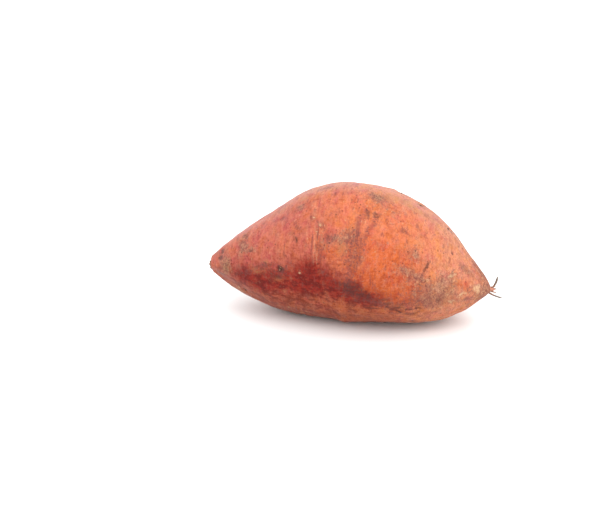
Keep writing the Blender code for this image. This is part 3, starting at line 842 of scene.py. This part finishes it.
class Wire:
    """A node's output. Arithmetic on it adds Math nodes, so that a mask reads as a sum."""

    def __init__(self, paint, socket):
        self.paint = paint
        self.socket = socket

    def math(self, operation, first, second):
        return self.paint.add("ShaderNodeMath", {"operation": operation}, {0: first, 1: second})

    def __add__(self, other):
        return self.math("ADD", self, other)

    def __abs__(self):
        return self.math("ABSOLUTE", self, 0.0)

    def __sub__(self, other):
        return self.math("SUBTRACT", self, other)

    def __rsub__(self, other):
        return self.math("SUBTRACT", other, self)

    def __mul__(self, other):
        return self.math("MULTIPLY", self, other)

    __radd__ = __add__
    __rmul__ = __mul__

    def between(self, low, high):
        """0 below low and 1 above high, with a smooth step between them."""
        return self.paint.add(
            "ShaderNodeMapRange",
            {"interpolation_type": "SMOOTHSTEP"},
            {"Value": self, "From Min": low, "From Max": high},
        )

    def below(self, low, high):
        """1 below low and 0 above high, with a smooth step between them."""
        return 1 - self.between(low, high)


class Paint:
    """A material under way: its Principled shader, its colour so far, and a method for any node."""

    def __init__(self, name, colour):
        self.colour = colour
        self.material = bpy.data.materials.new(name)
        self.material.use_nodes = True
        self.nodes = self.material.node_tree.nodes
        self.links = self.material.node_tree.links
        self.shader = self.nodes["Principled BSDF"]
        self.place = self.add("ShaderNodeTexCoord", output="Object")

    def add(self, kind, settings=None, inputs=None, output=0):
        """Adds a node, with its settings first, and returns the output that is asked for."""
        node = self.nodes.new(kind)
        for name, value in (settings or {}).items():
            setattr(node, name, value)
        for key, value in (inputs or {}).items():
            self.feed(node.inputs[key], value)
        return Wire(self, node.outputs[output])

    def feed(self, socket, value):
        """Links a wire to a socket, or sets the socket's own value."""
        if isinstance(value, Wire):
            self.links.new(value.socket, socket)
        elif socket.type == "RGBA":
            socket.default_value = (*value[:3], 1.0)
        else:
            socket.default_value = value

    def layer(self, name):
        """A named layer of the mesh, from 0 to 1."""
        return self.add("ShaderNodeAttribute", {"attribute_name": name}, output="Fac")

    def frayed(self, name, *frays):
        """A layer with its edge frayed: each (pattern, strength) adds (pattern - 0.5) strength."""
        edge = self.layer(name)
        for pattern, strength in frays:
            edge = edge + (pattern - 0.5) * strength
        return edge

    def stretched(self, stretch):
        """Object coordinates times a factor for each axis: above 1 draws a pattern finer that way."""
        return self.add(
            "ShaderNodeVectorMath", {"operation": "MULTIPLY"}, {0: self.place, 1: stretch}
        )

    def noise(self, size_mm, stretch=(1.0, 1.0, 1.0), detail=3.0, roughness=0.55, seed=0.0):
        """Smooth noise with features of about size_mm, from 0 to 1."""
        inputs = {
            "Vector": self.stretched(stretch),
            "W": seed,
            "Scale": 1 / (size_mm * MM),
            "Detail": detail,
            "Roughness": roughness,
        }
        return self.add("ShaderNodeTexNoise", {"noise_dimensions": "4D"}, inputs)

    def spots(self, pitch_mm, radius, chosen, stretch=(1.0, 1.0, 1.0)):
        """Round spots, one in each cell of pitch_mm, kept in a chosen share of the cells.

        The radius is a share of the pitch, and a spot fades out over the outer 0.6 of it.
        """
        inputs = {"Vector": self.stretched(stretch), "Scale": 1 / (pitch_mm * MM)}
        distance = self.add("ShaderNodeTexVoronoi", {}, inputs, "Distance")
        colour = self.add("ShaderNodeTexVoronoi", {}, inputs, "Color")
        draw = self.add("ShaderNodeSeparateColor", {}, {"Color": colour}, "Red")
        kept = draw.between(1 - chosen, 1.02 - chosen)
        return (1 - distance.between(radius * 0.4, radius)) * kept

    def scales(self, pitch_mm, bend_mm):
        """Flaking cells of about pitch_mm with bent edges: how far the edge is, and a draw for each."""
        bend = self.add(
            "ShaderNodeTexNoise", {}, {"Vector": self.place, "Scale": 1 / (pitch_mm * MM)}, "Color"
        )
        moved = self.add(
            "ShaderNodeVectorMath",
            {"operation": "MULTIPLY_ADD"},
            {0: bend, 1: (bend_mm * MM,) * 3, 2: self.place},
        )
        inputs = {"Vector": moved, "Scale": 1 / (pitch_mm * MM)}
        edge = self.add("ShaderNodeTexVoronoi", {"feature": "DISTANCE_TO_EDGE"}, inputs, "Distance")
        colour = self.add("ShaderNodeTexVoronoi", {}, inputs, "Color")
        return edge, self.add("ShaderNodeSeparateColor", {}, {"Color": colour}, "Red")

    def coat(self, factor, over, blend="MIX"):
        """Lays a colour on the colour so far, by a factor from 0 to 1."""
        settings = {"data_type": "RGBA", "blend_type": blend}
        inputs = {0: factor, 6: self.colour, 7: over}
        self.colour = self.add("ShaderNodeMix", settings, inputs, 2)

    def tint(self, factor, by):
        """Multiplies the colour so far by another, by a factor from 0 to 1."""
        self.coat(factor, by, "MULTIPLY")

    def finish(self, roughness, height_mm):
        """Feeds the shader: the colour, roughness, and a bump of so many millimetres."""
        bump = self.add(
            "ShaderNodeBump", {}, {"Strength": 1.0, "Distance": MM, "Height": height_mm}, "Normal"
        )
        self.feed(self.shader.inputs["Base Color"], self.colour)
        self.feed(self.shader.inputs["Roughness"], roughness)
        self.feed(self.shader.inputs["Normal"], bump)
        return self.material


class SkinPaint(Paint):
    """Raw skin: the patterns that its coats share, and a method for each group of coats."""

    def __init__(self, look):
        super().__init__("sweet_potato_skin", look.rose)
        self.look = look
        self.clouds = self.noise(15.0, detail=4.0, roughness=0.6)
        self.patches = self.noise(4.5, (1.2, 0.9, 0.9), detail=5.0, roughness=0.62)
        self.hoops = self.noise(1.1, (1.0, 0.24, 0.24), detail=3.0, roughness=0.65)
        self.threads = self.noise(1.1, (0.25, 1.0, 1.0), detail=3.0, roughness=0.6, seed=2.0)
        self.weave = self.hoops * 0.5 + self.threads * 0.5
        self.grit = self.noise(1.3, detail=4.0, roughness=0.7, seed=4.0)
        self.grain = self.noise(0.55, detail=2.0, roughness=0.6)
        self.stain = self.noise(3.0, (1.5, 0.6, 0.6), detail=4.0, roughness=0.65, seed=10.0)
        web = self.noise(2.6, (1.3, 0.8, 0.8), detail=4.0, roughness=0.6, seed=6.0)
        self.cracks = 1 - abs(web - 0.5).between(0.0, 0.05)

    def ground(self):
        """Rose at the stem half, orange and then tan towards the tail, and the broad patches."""
        look = self.look
        self.coat(self.frayed("warmth", (self.clouds, 0.8)).between(0.0, 1.0), look.orange)
        # Paler, yellower towards the tail: the skin's own duller tone together with painted light from
        # the right.
        self.coat(self.frayed("tan", (self.clouds, 0.8)).between(0.0, 1.0), look.tan)
        self.coat(self.layer("glow").between(0.0, 0.9) * 0.85, look.glow)
        # Pale pinkish-grey along the top: painted sheen of the light from above; on the far side, pale
        # patches of the skin.
        self.coat(self.frayed("bloom", (self.patches, 0.5)).between(0.10, 1.0) * 0.55, look.bloom)
        # A darker red-brown underside: the skin's own darker tone together with painted shade.
        self.coat(self.frayed("belly", (self.patches, 0.5)).between(0.15, 0.95) * 0.70, look.deep_and_shade)
        # Dark red patches low on the viewer's flank, made darker as painted shade; on the far side, red
        # patches of the skin.
        blush = self.frayed("blush", (self.patches, 1.3), (self.stain, 1.0)).between(0.10, 0.92)
        self.coat(blush * 0.92, look.blush)
        # The painted shade of the low flank; the light flecks are held back there and in the red patches.
        self.low = self.layer("low")
        self.bare = (1 - blush * 0.85) * (1 - self.low * 0.45)

    def mottling(self):
        """Drifts of the hue, then light and dark mottling from broad patches to fine grain."""
        look = self.look
        drift = self.noise(6.0, (1.2, 0.9, 0.9), detail=4.0, roughness=0.6, seed=14.0)
        self.tint(drift.between(0.50, 0.64), look.yellowing)
        self.tint(drift.below(0.36, 0.50), look.purpling)
        self.coat(self.patches.between(0.50, 0.68) * 0.32 * self.bare, look.pale)
        self.tint(self.patches.below(0.34, 0.50) * 0.60, look.shade)
        # Streaks of painted shade along the low flank, with the skin's own dark streaks, and olive stains
        # on their light side.
        streaks_and_shade = self.noise(4.0, (0.7, 1.2, 1.2), detail=5.0, roughness=0.65, seed=16.0)
        self.tint(streaks_and_shade.below(0.43, 0.53) * self.low, look.streaks_and_shade)
        self.coat(streaks_and_shade.between(0.56, 0.66) * self.low * 0.28, look.olive)
        self.coat(self.weave.between(0.51, 0.62) * 0.30 * self.bare, look.light)
        self.tint(self.weave.below(0.39, 0.49) * 0.60, look.shade)
        self.coat(self.grit.between(0.53, 0.66) * 0.30 * self.bare, look.light)
        self.tint(self.grit.below(0.34, 0.46) * 0.60, look.shade)
        haze = self.noise(8.0, (1.3, 0.8, 0.8), detail=5.0, roughness=0.65, seed=8.0)
        self.coat(haze.between(0.50, 0.70) * 0.28 * self.bare, look.film)
        self.coat(self.stain.below(0.33, 0.45) * 0.50, look.smudge)
        self.coat(self.stain.between(0.58, 0.70) * 0.30 * self.bare, look.pale)
        self.coat(self.grain.between(0.55, 0.70) * 0.20 * self.bare, look.light)
        self.tint(self.cracks * 0.30, look.shade)

    def films(self):
        """Dull films, which flake in scales and crack, and worn olive patches."""
        look = self.look
        ragged = self.patches * 0.4 + self.grit * 0.6
        film = self.frayed("film", (ragged, 3.0))
        self.film_spots = film.between(0.20, 1.20)
        self.coat(self.film_spots * 0.60, look.film)
        self.coat(self.frayed("olive", (ragged, 3.0)).between(0.25, 1.20) * 0.65, look.olive)
        flaking = film.between(0.35, 1.0)
        scale_edge, scale_draw = self.scales(2.7, 4.0)
        self.coat(flaking * scale_draw.between(0.45, 0.95) * 0.28, look.cork)
        self.coat(flaking * scale_draw.below(0.10, 0.35) * 0.35, look.smudge)
        self.coat(flaking * scale_edge.below(0.02, 0.12) * 0.45, look.smudge)
        self.coat(self.film_spots * self.grit.between(0.54, 0.66) * 0.45, look.cork)
        crazing = self.cracks * 0.5 + self.grit.below(0.38, 0.48) * 0.7
        self.film_cracks = film.between(0.0, 0.8) * crazing
        self.coat(self.film_cracks, look.smudge)

    def stains(self):
        """Purplish smudges, specks, dark spots, pores and pale flecks."""
        look = self.look
        smudge = self.frayed("smudge", (self.grit, 2.8), (self.grain, 1.4), (self.hoops, 1.0))
        self.smudge = smudge.between(0.30, 1.30)
        self.coat(self.smudge * 0.80, look.smudge)
        specks = (self.grit * 0.7 + self.clouds * 0.3).below(0.33, 0.42)
        self.coat(specks * 0.65, look.smudge)
        self.dark = self.frayed("dark", (self.grit, 1.8)).between(0.30, 1.05)
        self.coat(self.dark * 0.80, look.dark)
        self.pores = self.spots(3.1, 0.20, 0.6)
        self.coat(self.pores * 0.60, look.dark)
        flecks = self.spots(2.9, 0.22, 0.25, (1.3, 0.7, 0.7))
        self.coat(flecks * 0.30 * self.bare, look.cork)

    def scars(self):
        """Lines in the rings, folds in the furrows, healed cork, the eyes and the dry ends."""
        look = self.look
        ring = self.layer("rings")
        lines = self.noise(1.5, (1.0, 0.10, 0.10), detail=2.0, roughness=0.5)
        pale_lines = lines.between(0.55, 0.63) * self.grit.between(0.40, 0.56)
        self.coat(lines.below(0.37, 0.45) * ring * 0.90, look.smudge)
        self.coat(pale_lines * ring * 0.30, look.cork)
        fold = self.layer("furrows")
        folds = self.noise(1.8, (0.10, 1.0, 1.0), detail=2.0, roughness=0.5)
        self.coat(folds.below(0.40, 0.49) * fold * 0.80, look.dark)
        self.ridges = lines * ring * 0.45 + folds * fold * 0.4
        healed = self.frayed("cork", (self.threads, 1.0), (self.grit, 2.0))
        self.coat(healed.between(0.05, 0.40) * 0.25, look.smudge)
        self.cork = healed.between(0.25, 1.25)
        self.coat(self.cork * 0.90, look.cork)
        # The eyes' own dark spots, with painted shade in their pits: darker the deeper the pit.
        self.coat(self.layer("eyes").between(0.10, 0.60) * 0.60, look.dark)
        self.coat(self.frayed("stem", (self.threads, 0.4)).between(0.35, 0.85) * 0.9, look.fibre)
        self.coat(self.layer("dry_tail").between(0.20, 0.90) * 0.6, look.fibre)


def skin_material(look):
    """Raw skin: rose at the stem half and orange at the tail half, mottled, with its marks."""
    skin = SkinPaint(look)
    skin.ground()
    skin.mottling()
    skin.films()
    skin.stains()
    skin.scars()
    rough = 0.42 + skin.film_spots * 0.20 + skin.cork * 0.2 + skin.patches * 0.12 + skin.smudge * 0.12
    height = skin.patches * 0.18 + skin.weave * 0.12 + skin.grit * 0.10 + skin.grain * 0.03
    height = height + skin.ridges + skin.cork * 0.15
    height = height - skin.film_cracks * 0.05 - skin.dark * 0.12 - skin.pores * 0.1
    skin.feed(skin.shader.inputs["Specular IOR Level"], look.gloss)
    skin.feed(skin.shader.inputs["Sheen Weight"], look.sheen)
    return skin.finish(rough, height)


def rootlet_material(look):
    """Dry fibre: rosy where it leaves the root, then brown, and dull olive grey at the tip."""
    paint = Paint("dry_rootlet", look.nub)
    grain = paint.noise(0.6, (0.5, 1.0, 1.0), detail=3.0)
    clumps = paint.noise(1.4, detail=2.0, seed=12.0)
    dryness = paint.layer("dryness")
    paint.coat(dryness.between(0.0, 0.30), look.fibre)
    paint.coat(dryness.between(0.30, 0.85), look.tip)
    paint.coat(grain.between(0.45, 0.65) * 0.35, look.cork)
    paint.coat(grain.below(0.32, 0.45) * 0.4, look.dark)
    paint.coat(clumps.below(0.36, 0.50) * dryness.between(0.05, 0.30) * 0.5, look.dark)
    return paint.finish(0.6 + grain * 0.25, grain * 0.12)


def thread_net(path, radius, sides, start):
    """A shrivelled tube: a ring at each path point, of radius times (1 + SHRIVEL times noise).

    The rings stand square to the path, in the directions made by crossing it with THREAD_CROSS.
    """
    along = np.gradient(path, axis=0)
    along /= np.linalg.norm(along, axis=1, keepdims=True)
    first = np.cross(along, np.array(THREAD_CROSS))
    first /= np.linalg.norm(first, axis=1, keepdims=True)
    second = np.cross(along, first)
    angle = np.linspace(0, 2 * math.pi, sides, endpoint=False)
    turn = np.stack([np.cos(angle), np.sin(angle)], axis=1)
    shape = first[:, None, :] * turn[None, :, :1] + second[:, None, :] * turn[None, :, 1:]
    steps = np.arange(len(path))[:, None] * SHRIVEL_ALONG
    across, up = (turn[None, :, side] * SHRIVEL_AROUND for side in (0, 1))
    sample = np.stack(np.broadcast_arrays(steps, across + start, up), axis=-1)
    stray = 1 + SHRIVEL * gentle_noise(sample, SHRIVEL_SEED)
    rings = path[:, None, :] + shape * (radius[:, None] * stray)[..., None]
    points = np.concatenate([rings.reshape(-1, 3), path[:1], path[-1:]])
    share = np.concatenate([np.repeat(np.linspace(0, 1, len(path)), sides), [0.0, 1.0]])
    return points, *capped_net(len(path), sides), share


def gather(nets):
    """Several nets as one: their points, quads, triangles and shares, with the indices moved on."""
    start = 0
    parts = ([], [], [], [])
    for points, quads, triangles, share in nets:
        for part, values in zip(parts, (points, quads + start, triangles + start, share)):
            part.append(values)
        start += len(points)
    return tuple(np.concatenate(part) for part in parts)


def rootlet_path(shape, tip, lead, steps):
    """From inside the tail along the root's lead, then away along the reach, bowed by a half sine."""
    share = np.linspace(0, 1, steps)[:, None]
    path = tip + lead * ROOTLET_SUNK_MM * (share - 1)
    path = path + np.array(shape.reach_mm) * share**ROOTLET_TURN_AWAY
    return path + np.array(shape.bow_mm) * np.sin(math.pi * share)


def rootlet_nets(sides, steps):
    """The tail's rootlets, each tapering to a point. The long thin ones have dried the most."""
    ends, _, _ = axis_frame(np.array([1.0, 1.0 - 2 * AXIS_STEP]))
    lead = (ends[0] - ends[1]) / np.linalg.norm(ends[0] - ends[1])
    share = np.linspace(0, 1, steps)
    nets = []
    for number, shape in enumerate(ROOTLETS):
        path = rootlet_path(shape, ends[0], lead, steps)
        radius = (shape.base_mm * (1 - share) + shape.tip_mm * share) / 2
        radius *= np.clip((1 - share) / TIP_SHARE, TIP_LEAST, 1) ** TIP_POWER
        points, quads, triangles, dryness = thread_net(path, radius, sides, number * ROOTLET_START)
        dryness *= min(np.linalg.norm(shape.reach_mm) / DRIED_LENGTH_MM, 1.0)
        nets.append((points, quads, triangles, dryness / max(shape.base_mm / DRIED_WIDTH_MM, 1.0)))
    return nets


def surface_at(share, around_deg):
    """A point of the skin in mm, and the direction out of it."""
    lengthwise = np.array([math.acos(1 - 2 * share)])
    around = np.array([math.radians(around_deg)])
    point = form_points(lengthwise, around)[0]
    _, upright, front = axis_frame(np.array([share]))
    return point, upright[0] * math.cos(around[0]) + front[0] * math.sin(around[0])


def stub_nets(sides, steps):
    """What is left of snapped side roots: a short dark stub in each of the deeper eyes."""
    draw = random.Random(STUB_SEED)
    nets = []
    for eye in (*SEEN_EYES, *hidden_eyes()):
        if eye.depth_mm < STUB_LEAST_DEPTH_MM:
            continue
        point, out = surface_at(eye.share, eye.around_deg)
        lean = np.array([draw.uniform(*span) for span in STUB_LEANS])
        height = eye.depth_mm * draw.uniform(*STUB_HEIGHTS)
        share = np.linspace(-1, 1, steps)[:, None]
        path = point + (out + lean) * share * height
        radius = draw.uniform(*STUB_RADII_MM) * np.linspace(*STUB_TAPER, steps)
        radius[-len(STUB_TOP) :] *= STUB_TOP
        nets.append(thread_net(path, radius, sides, draw.uniform(*SHRIVEL_STARTS)))
    return nets


def fibre_nets(sides, steps):
    """The snapped stem: a bundle of short woody fibres in the scar's dish, longest in their ring."""
    draw = random.Random(FIBRE_SEED)
    middle = np.array([FIBRE_FOOT_MM, STATIONS[0].axis_aside_mm, STATIONS[0].axis_height_mm])
    nets = []
    for _ in range(FIBRES):
        part = math.sqrt(draw.random())
        turn = draw.uniform(0, 2 * math.pi)
        side = np.array([0.0, math.sin(turn), math.cos(turn)])
        foot = middle + side * part * FIBRE_BUNDLE_MM
        length = draw.uniform(*FIBRE_LENGTHS_MM)
        length += FIBRE_RING_MM * math.sin(math.pi * part) * draw.random()
        splay = side * draw.uniform(*FIBRE_SPLAYS) * part
        path = foot + (splay - (length, 0, 0)) * np.linspace(0, 1, steps)[:, None]
        radius = draw.uniform(*FIBRE_RADII_MM) * np.linspace(*FIBRE_TAPER, steps)
        nets.append(thread_net(path, radius, sides, draw.uniform(*SHRIVEL_STARTS)))
    return nets


def threads_piece(name, nets, material, dryness):
    """One piece made of closed threads. Each point is as dry as its share of the thread's length."""
    points, quads, triangles, share = gather(nets)
    placed = points * MM + SHIFT
    piece = new_piece(name, placed, quads, triangles, material, {"dryness": share * dryness})
    settle(piece)


def colour_property(name, description, default):
    return FloatVectorProperty(
        name=name, description=description, subtype="COLOR", min=0, max=1, default=default
    )


class SweetPotatoSkin(bpy.types.PropertyGroup):
    """The skin's net, its fine relief and its colours."""

    rows: IntProperty(name="Rows", description="Rings of the net along the root", default=290, min=40)
    columns: IntProperty(
        name="Columns", description="Points of each ring of the net", default=340, min=40
    )
    ring_depth: FloatProperty(
        name="Ring depth",
        description="Depth of the fine lines inside the ring creases",
        default=0.35 * MM,
        subtype="DISTANCE",
        unit="LENGTH",
    )
    furrow_depth: FloatProperty(
        name="Furrow depth",
        description="Depth of the dried furrows that run along the lower flank",
        default=0.30 * MM,
        subtype="DISTANCE",
        unit="LENGTH",
    )
    rose: colour_property("Rose", "Skin of the stem half", tone(164, 83, 66))
    orange: colour_property("Orange", "Skin of the tail half", tone(186, 102, 67))
    # Paler skin towards the tail, together with painted light from the right.
    tan: colour_property("Tan", "Duller skin towards the tail", tone(188, 119, 86))
    glow: colour_property("Glow", "The most orange patch", tone(174, 80, 36))
    # Dark red patches, and painted shade low on the viewer's flank.
    blush: colour_property("Blush", "Deep red patches low on the flank", tone(120, 14, 2))
    pale: colour_property("Pale", "The light side of the mottling", tone(192, 126, 102))
    light: colour_property("Light", "The fine light flecks of the skin", tone(206, 118, 90))
    shade: colour_property("Shade", "What the mottling's dark side multiplies by", (0.66, 0.50, 0.42))
    yellowing: colour_property("Yellowing", "Drift of the hue to yellow", (1.0, 1.0, 0.70))
    purpling: colour_property("Purpling", "Drift of the hue to purple", (0.90, 0.74, 0.98))
    # What the low flank's streaks multiply by: painted shade together with the skin's own dark streaks.
    streaks_and_shade: colour_property("Scorch", "What the low flank's stains multiply by", (0.55, 0.34, 0.24))
    # The underside's colour: the skin's own darker tone together with painted shade.
    deep_and_shade: colour_property("Deep", "Skin of the underside", tone(130, 54, 18))
    # Pale pinkish-grey along the top, as painted sheen of the light from above, and on the far side as
    # pale patches.
    bloom: colour_property("Bloom", "Dry bloom along the top", tone(167, 124, 106))
    film: colour_property("Film", "Dull film and scabs", tone(130, 98, 80))
    olive: colour_property("Olive", "Yellowish worn patches", tone(154, 106, 66))
    smudge: colour_property("Smudge", "Dull purplish stains and streaks", tone(102, 54, 50))
    dark: colour_property("Dark", "Eyes, pits and dry lines", tone(64, 32, 28))
    cork: colour_property("Cork", "Healed scars and flecks", tone(190, 152, 116))
    fibre: colour_property("Fibre", "The stem scar and the tail's dry end", tone(136, 88, 66))
    tip: colour_property("Tip", "The far ends of the rootlets", tone(66, 56, 46))
    nub: colour_property("Nub", "Where the rootlets leave the tail", tone(176, 112, 92))
    gloss: FloatProperty(name="Gloss", description="How strongly the skin reflects", default=0.12)
    sheen: FloatProperty(name="Sheen", description="Dusty light along the outline", default=0.02)


class SweetPotatoRootlets(bpy.types.PropertyGroup):
    """How finely the tail's rootlets are made."""

    sides: IntProperty(name="Sides", description="Points around a rootlet", default=14, min=5)
    steps: IntProperty(name="Steps", description="Rings along a rootlet", default=30, min=6)


class SweetPotatoStage(bpy.types.PropertyGroup):
    """The floor, the lights and the camera."""

    azimuth: FloatProperty(
        name="Azimuth",
        description="How far the camera stands round towards the tail",
        default=math.radians(10.0),
        subtype="ANGLE",
        unit="ROTATION",
    )
    elevation: FloatProperty(
        name="Elevation",
        description="How far the camera looks down",
        default=math.radians(20.0),
        subtype="ANGLE",
        unit="ROTATION",
    )
    distance: FloatProperty(
        name="Distance",
        description="From the camera to the point it looks at",
        default=0.822,
        subtype="DISTANCE",
        unit="LENGTH",
    )
    aim: FloatVectorProperty(
        name="Aim",
        description="The point that the camera looks at",
        default=(-0.0331, 0.0, 0.0358),
        subtype="XYZ",
        unit="LENGTH",
    )
    lens: FloatProperty(
        name="Lens", description="Focal length for a 36 mm sensor", default=85.0, unit="CAMERA"
    )
    floor_side: FloatProperty(
        name="Floor side",
        description="Side of the square floor",
        default=8.0,
        subtype="DISTANCE",
        unit="LENGTH",
    )
    floor: colour_property("Floor", "Colour of the floor", (0.80, 0.80, 0.80))
    sky: FloatProperty(name="Sky", description="Strength of the even light all round", default=1.85)
    key: FloatProperty(
        name="Key", description="Power of the large lamp in front", default=6.0, unit="POWER"
    )


class SweetPotatoSettings(bpy.types.PropertyGroup):
    """Everything that the panel shows."""

    skin: PointerProperty(type=SweetPotatoSkin)
    rootlets: PointerProperty(type=SweetPotatoRootlets)
    stage: PointerProperty(type=SweetPotatoStage)


class SWEETPOTATO_OT_skin(bpy.types.Operator):
    """Makes the root's skin with its eyes, creases, lumps and marks"""

    bl_idname = "sweet_potato.skin"
    bl_label = "Skin"

    def execute(self, context):
        look = context.scene.sweet_potato.skin
        lengthwise, around = skin_grid(look.rows, look.columns)
        bare = form_points(lengthwise, around)
        layers = skin_layers(bare, lengthwise, around)
        fine = lump_relief(bare)
        fine += ridge_relief(bare, layers, look.ring_depth / MM, look.furrow_depth / MM)
        points = form_points(lengthwise, around, fine) * MM + SHIFT
        quads, triangles = capped_net(look.rows, look.columns)
        piece = new_piece("root_skin", points, quads, triangles, skin_material(look), layers)
        settle(piece)
        return {"FINISHED"}


class SWEETPOTATO_OT_rootlets(bpy.types.Operator):
    """Makes the dried rootlets at the tail"""

    bl_idname = "sweet_potato.rootlets"
    bl_label = "Tail rootlets"

    def execute(self, context):
        settings = context.scene.sweet_potato
        nets = rootlet_nets(settings.rootlets.sides, settings.rootlets.steps)
        threads_piece("tail_rootlets", nets, rootlet_material(settings.skin), 1.0)
        return {"FINISHED"}


class SWEETPOTATO_OT_stubs(bpy.types.Operator):
    """Makes the snapped side roots in the eyes and the torn fibres of the stem scar"""

    bl_idname = "sweet_potato.stubs"
    bl_label = "Stubs and fibres"

    def execute(self, context):
        settings = context.scene.sweet_potato
        material = rootlet_material(settings.skin)
        threads_piece("eye_stubs", stub_nets(*STUB_NET), material, STUB_DRYNESS)
        threads_piece("stem_fibres", fibre_nets(*FIBRE_NET), material, FIBRE_DRYNESS)
        return {"FINISHED"}


def softbox(name, place, aim, side, power):
    """A square lamp of the given side, turned towards the point aim."""
    lamp = bpy.data.lights.new(name, "AREA")
    lamp.shape = "SQUARE"
    lamp.size = side
    lamp.energy = power
    held = bpy.data.objects.new(name, lamp)
    held.location = place
    held.rotation_euler = (Vector(aim) - Vector(place)).to_track_quat("-Z", "Y").to_euler()
    bpy.context.scene.collection.objects.link(held)


class SWEETPOTATO_OT_stage(bpy.types.Operator):
    """Sets the floor, the lights and the camera"""

    bl_idname = "sweet_potato.stage"
    bl_label = "Stage"

    def execute(self, context):
        stage = context.scene.sweet_potato.stage
        self.floor(stage)
        self.light(context.scene, stage)
        self.camera(context.scene, stage)
        return {"FINISHED"}

    def floor(self, stage):
        half = stage.floor_side / 2
        corners = [(-half, -half, 0), (half, -half, 0), (half, half, 0), (-half, half, 0)]
        mesh = bpy.data.meshes.new("floor")
        mesh.from_pydata(corners, [], [(0, 1, 2, 3)])
        paint = Paint("floor_paper", stage.floor)
        paint.feed(paint.shader.inputs["Base Color"], paint.colour)
        paint.feed(paint.shader.inputs["Roughness"], FLOOR_ROUGHNESS)
        paint.feed(paint.shader.inputs["Specular IOR Level"], FLOOR_GLOSS)
        mesh.materials.append(paint.material)
        floor = bpy.data.objects.new("floor", mesh)
        bpy.context.scene.collection.objects.link(floor)

    def light(self, scene, stage):
        world = bpy.data.worlds.new("studio")
        world.use_nodes = True
        sky = world.node_tree.nodes["Background"]
        sky.inputs["Color"].default_value = (1.0, 1.0, 1.0, 1.0)
        sky.inputs["Strength"].default_value = stage.sky
        scene.world = world
        softbox("key", KEY_PLACE, KEY_AIM, KEY_SIDE, stage.key)

    def camera(self, scene, stage):
        lens = bpy.data.cameras.new("camera")
        lens.lens = stage.lens
        camera = bpy.data.objects.new("camera", lens)
        aim = Vector(stage.aim)
        flat = math.cos(stage.elevation)
        back = Vector(
            (
                math.sin(stage.azimuth) * flat,
                -math.cos(stage.azimuth) * flat,
                math.sin(stage.elevation),
            )
        )
        camera.location = aim + back * stage.distance
        camera.rotation_euler = (-back).to_track_quat("-Z", "Y").to_euler()
        scene.collection.objects.link(camera)
        scene.camera = camera
        scene.view_settings.view_transform = "Standard"


OPERATORS = (
    SWEETPOTATO_OT_skin,
    SWEETPOTATO_OT_rootlets,
    SWEETPOTATO_OT_stubs,
    SWEETPOTATO_OT_stage,
)


class SWEETPOTATO_PT_panel(bpy.types.Panel):
    """Lists the steps and the settings of each"""

    bl_label = "Sweet Potato"
    bl_idname = "SWEETPOTATO_PT_panel"
    bl_space_type = "VIEW_3D"
    bl_region_type = "UI"
    bl_category = "Sweet Potato"

    def draw(self, context):
        for operator in OPERATORS:
            self.layout.operator(operator.bl_idname)
        settings = context.scene.sweet_potato
        for group in (settings.skin, settings.rootlets, settings.stage):
            box = self.layout.box()
            for name in group.__annotations__:
                box.prop(group, name)


CLASSES = (
    SweetPotatoSkin,
    SweetPotatoRootlets,
    SweetPotatoStage,
    SweetPotatoSettings,
    *OPERATORS,
    SWEETPOTATO_PT_panel,
)


def register():
    for made in CLASSES:
        bpy.utils.register_class(made)
    bpy.types.Scene.sweet_potato = PointerProperty(type=SweetPotatoSettings)


def unregister():
    del bpy.types.Scene.sweet_potato
    for made in reversed(CLASSES):
        bpy.utils.unregister_class(made)


def main():
    register()
    bpy.ops.sweet_potato.skin()
    bpy.ops.sweet_potato.rootlets()
    bpy.ops.sweet_potato.stubs()
    bpy.ops.sweet_potato.stage()


if __name__ == "__main__":
    main()
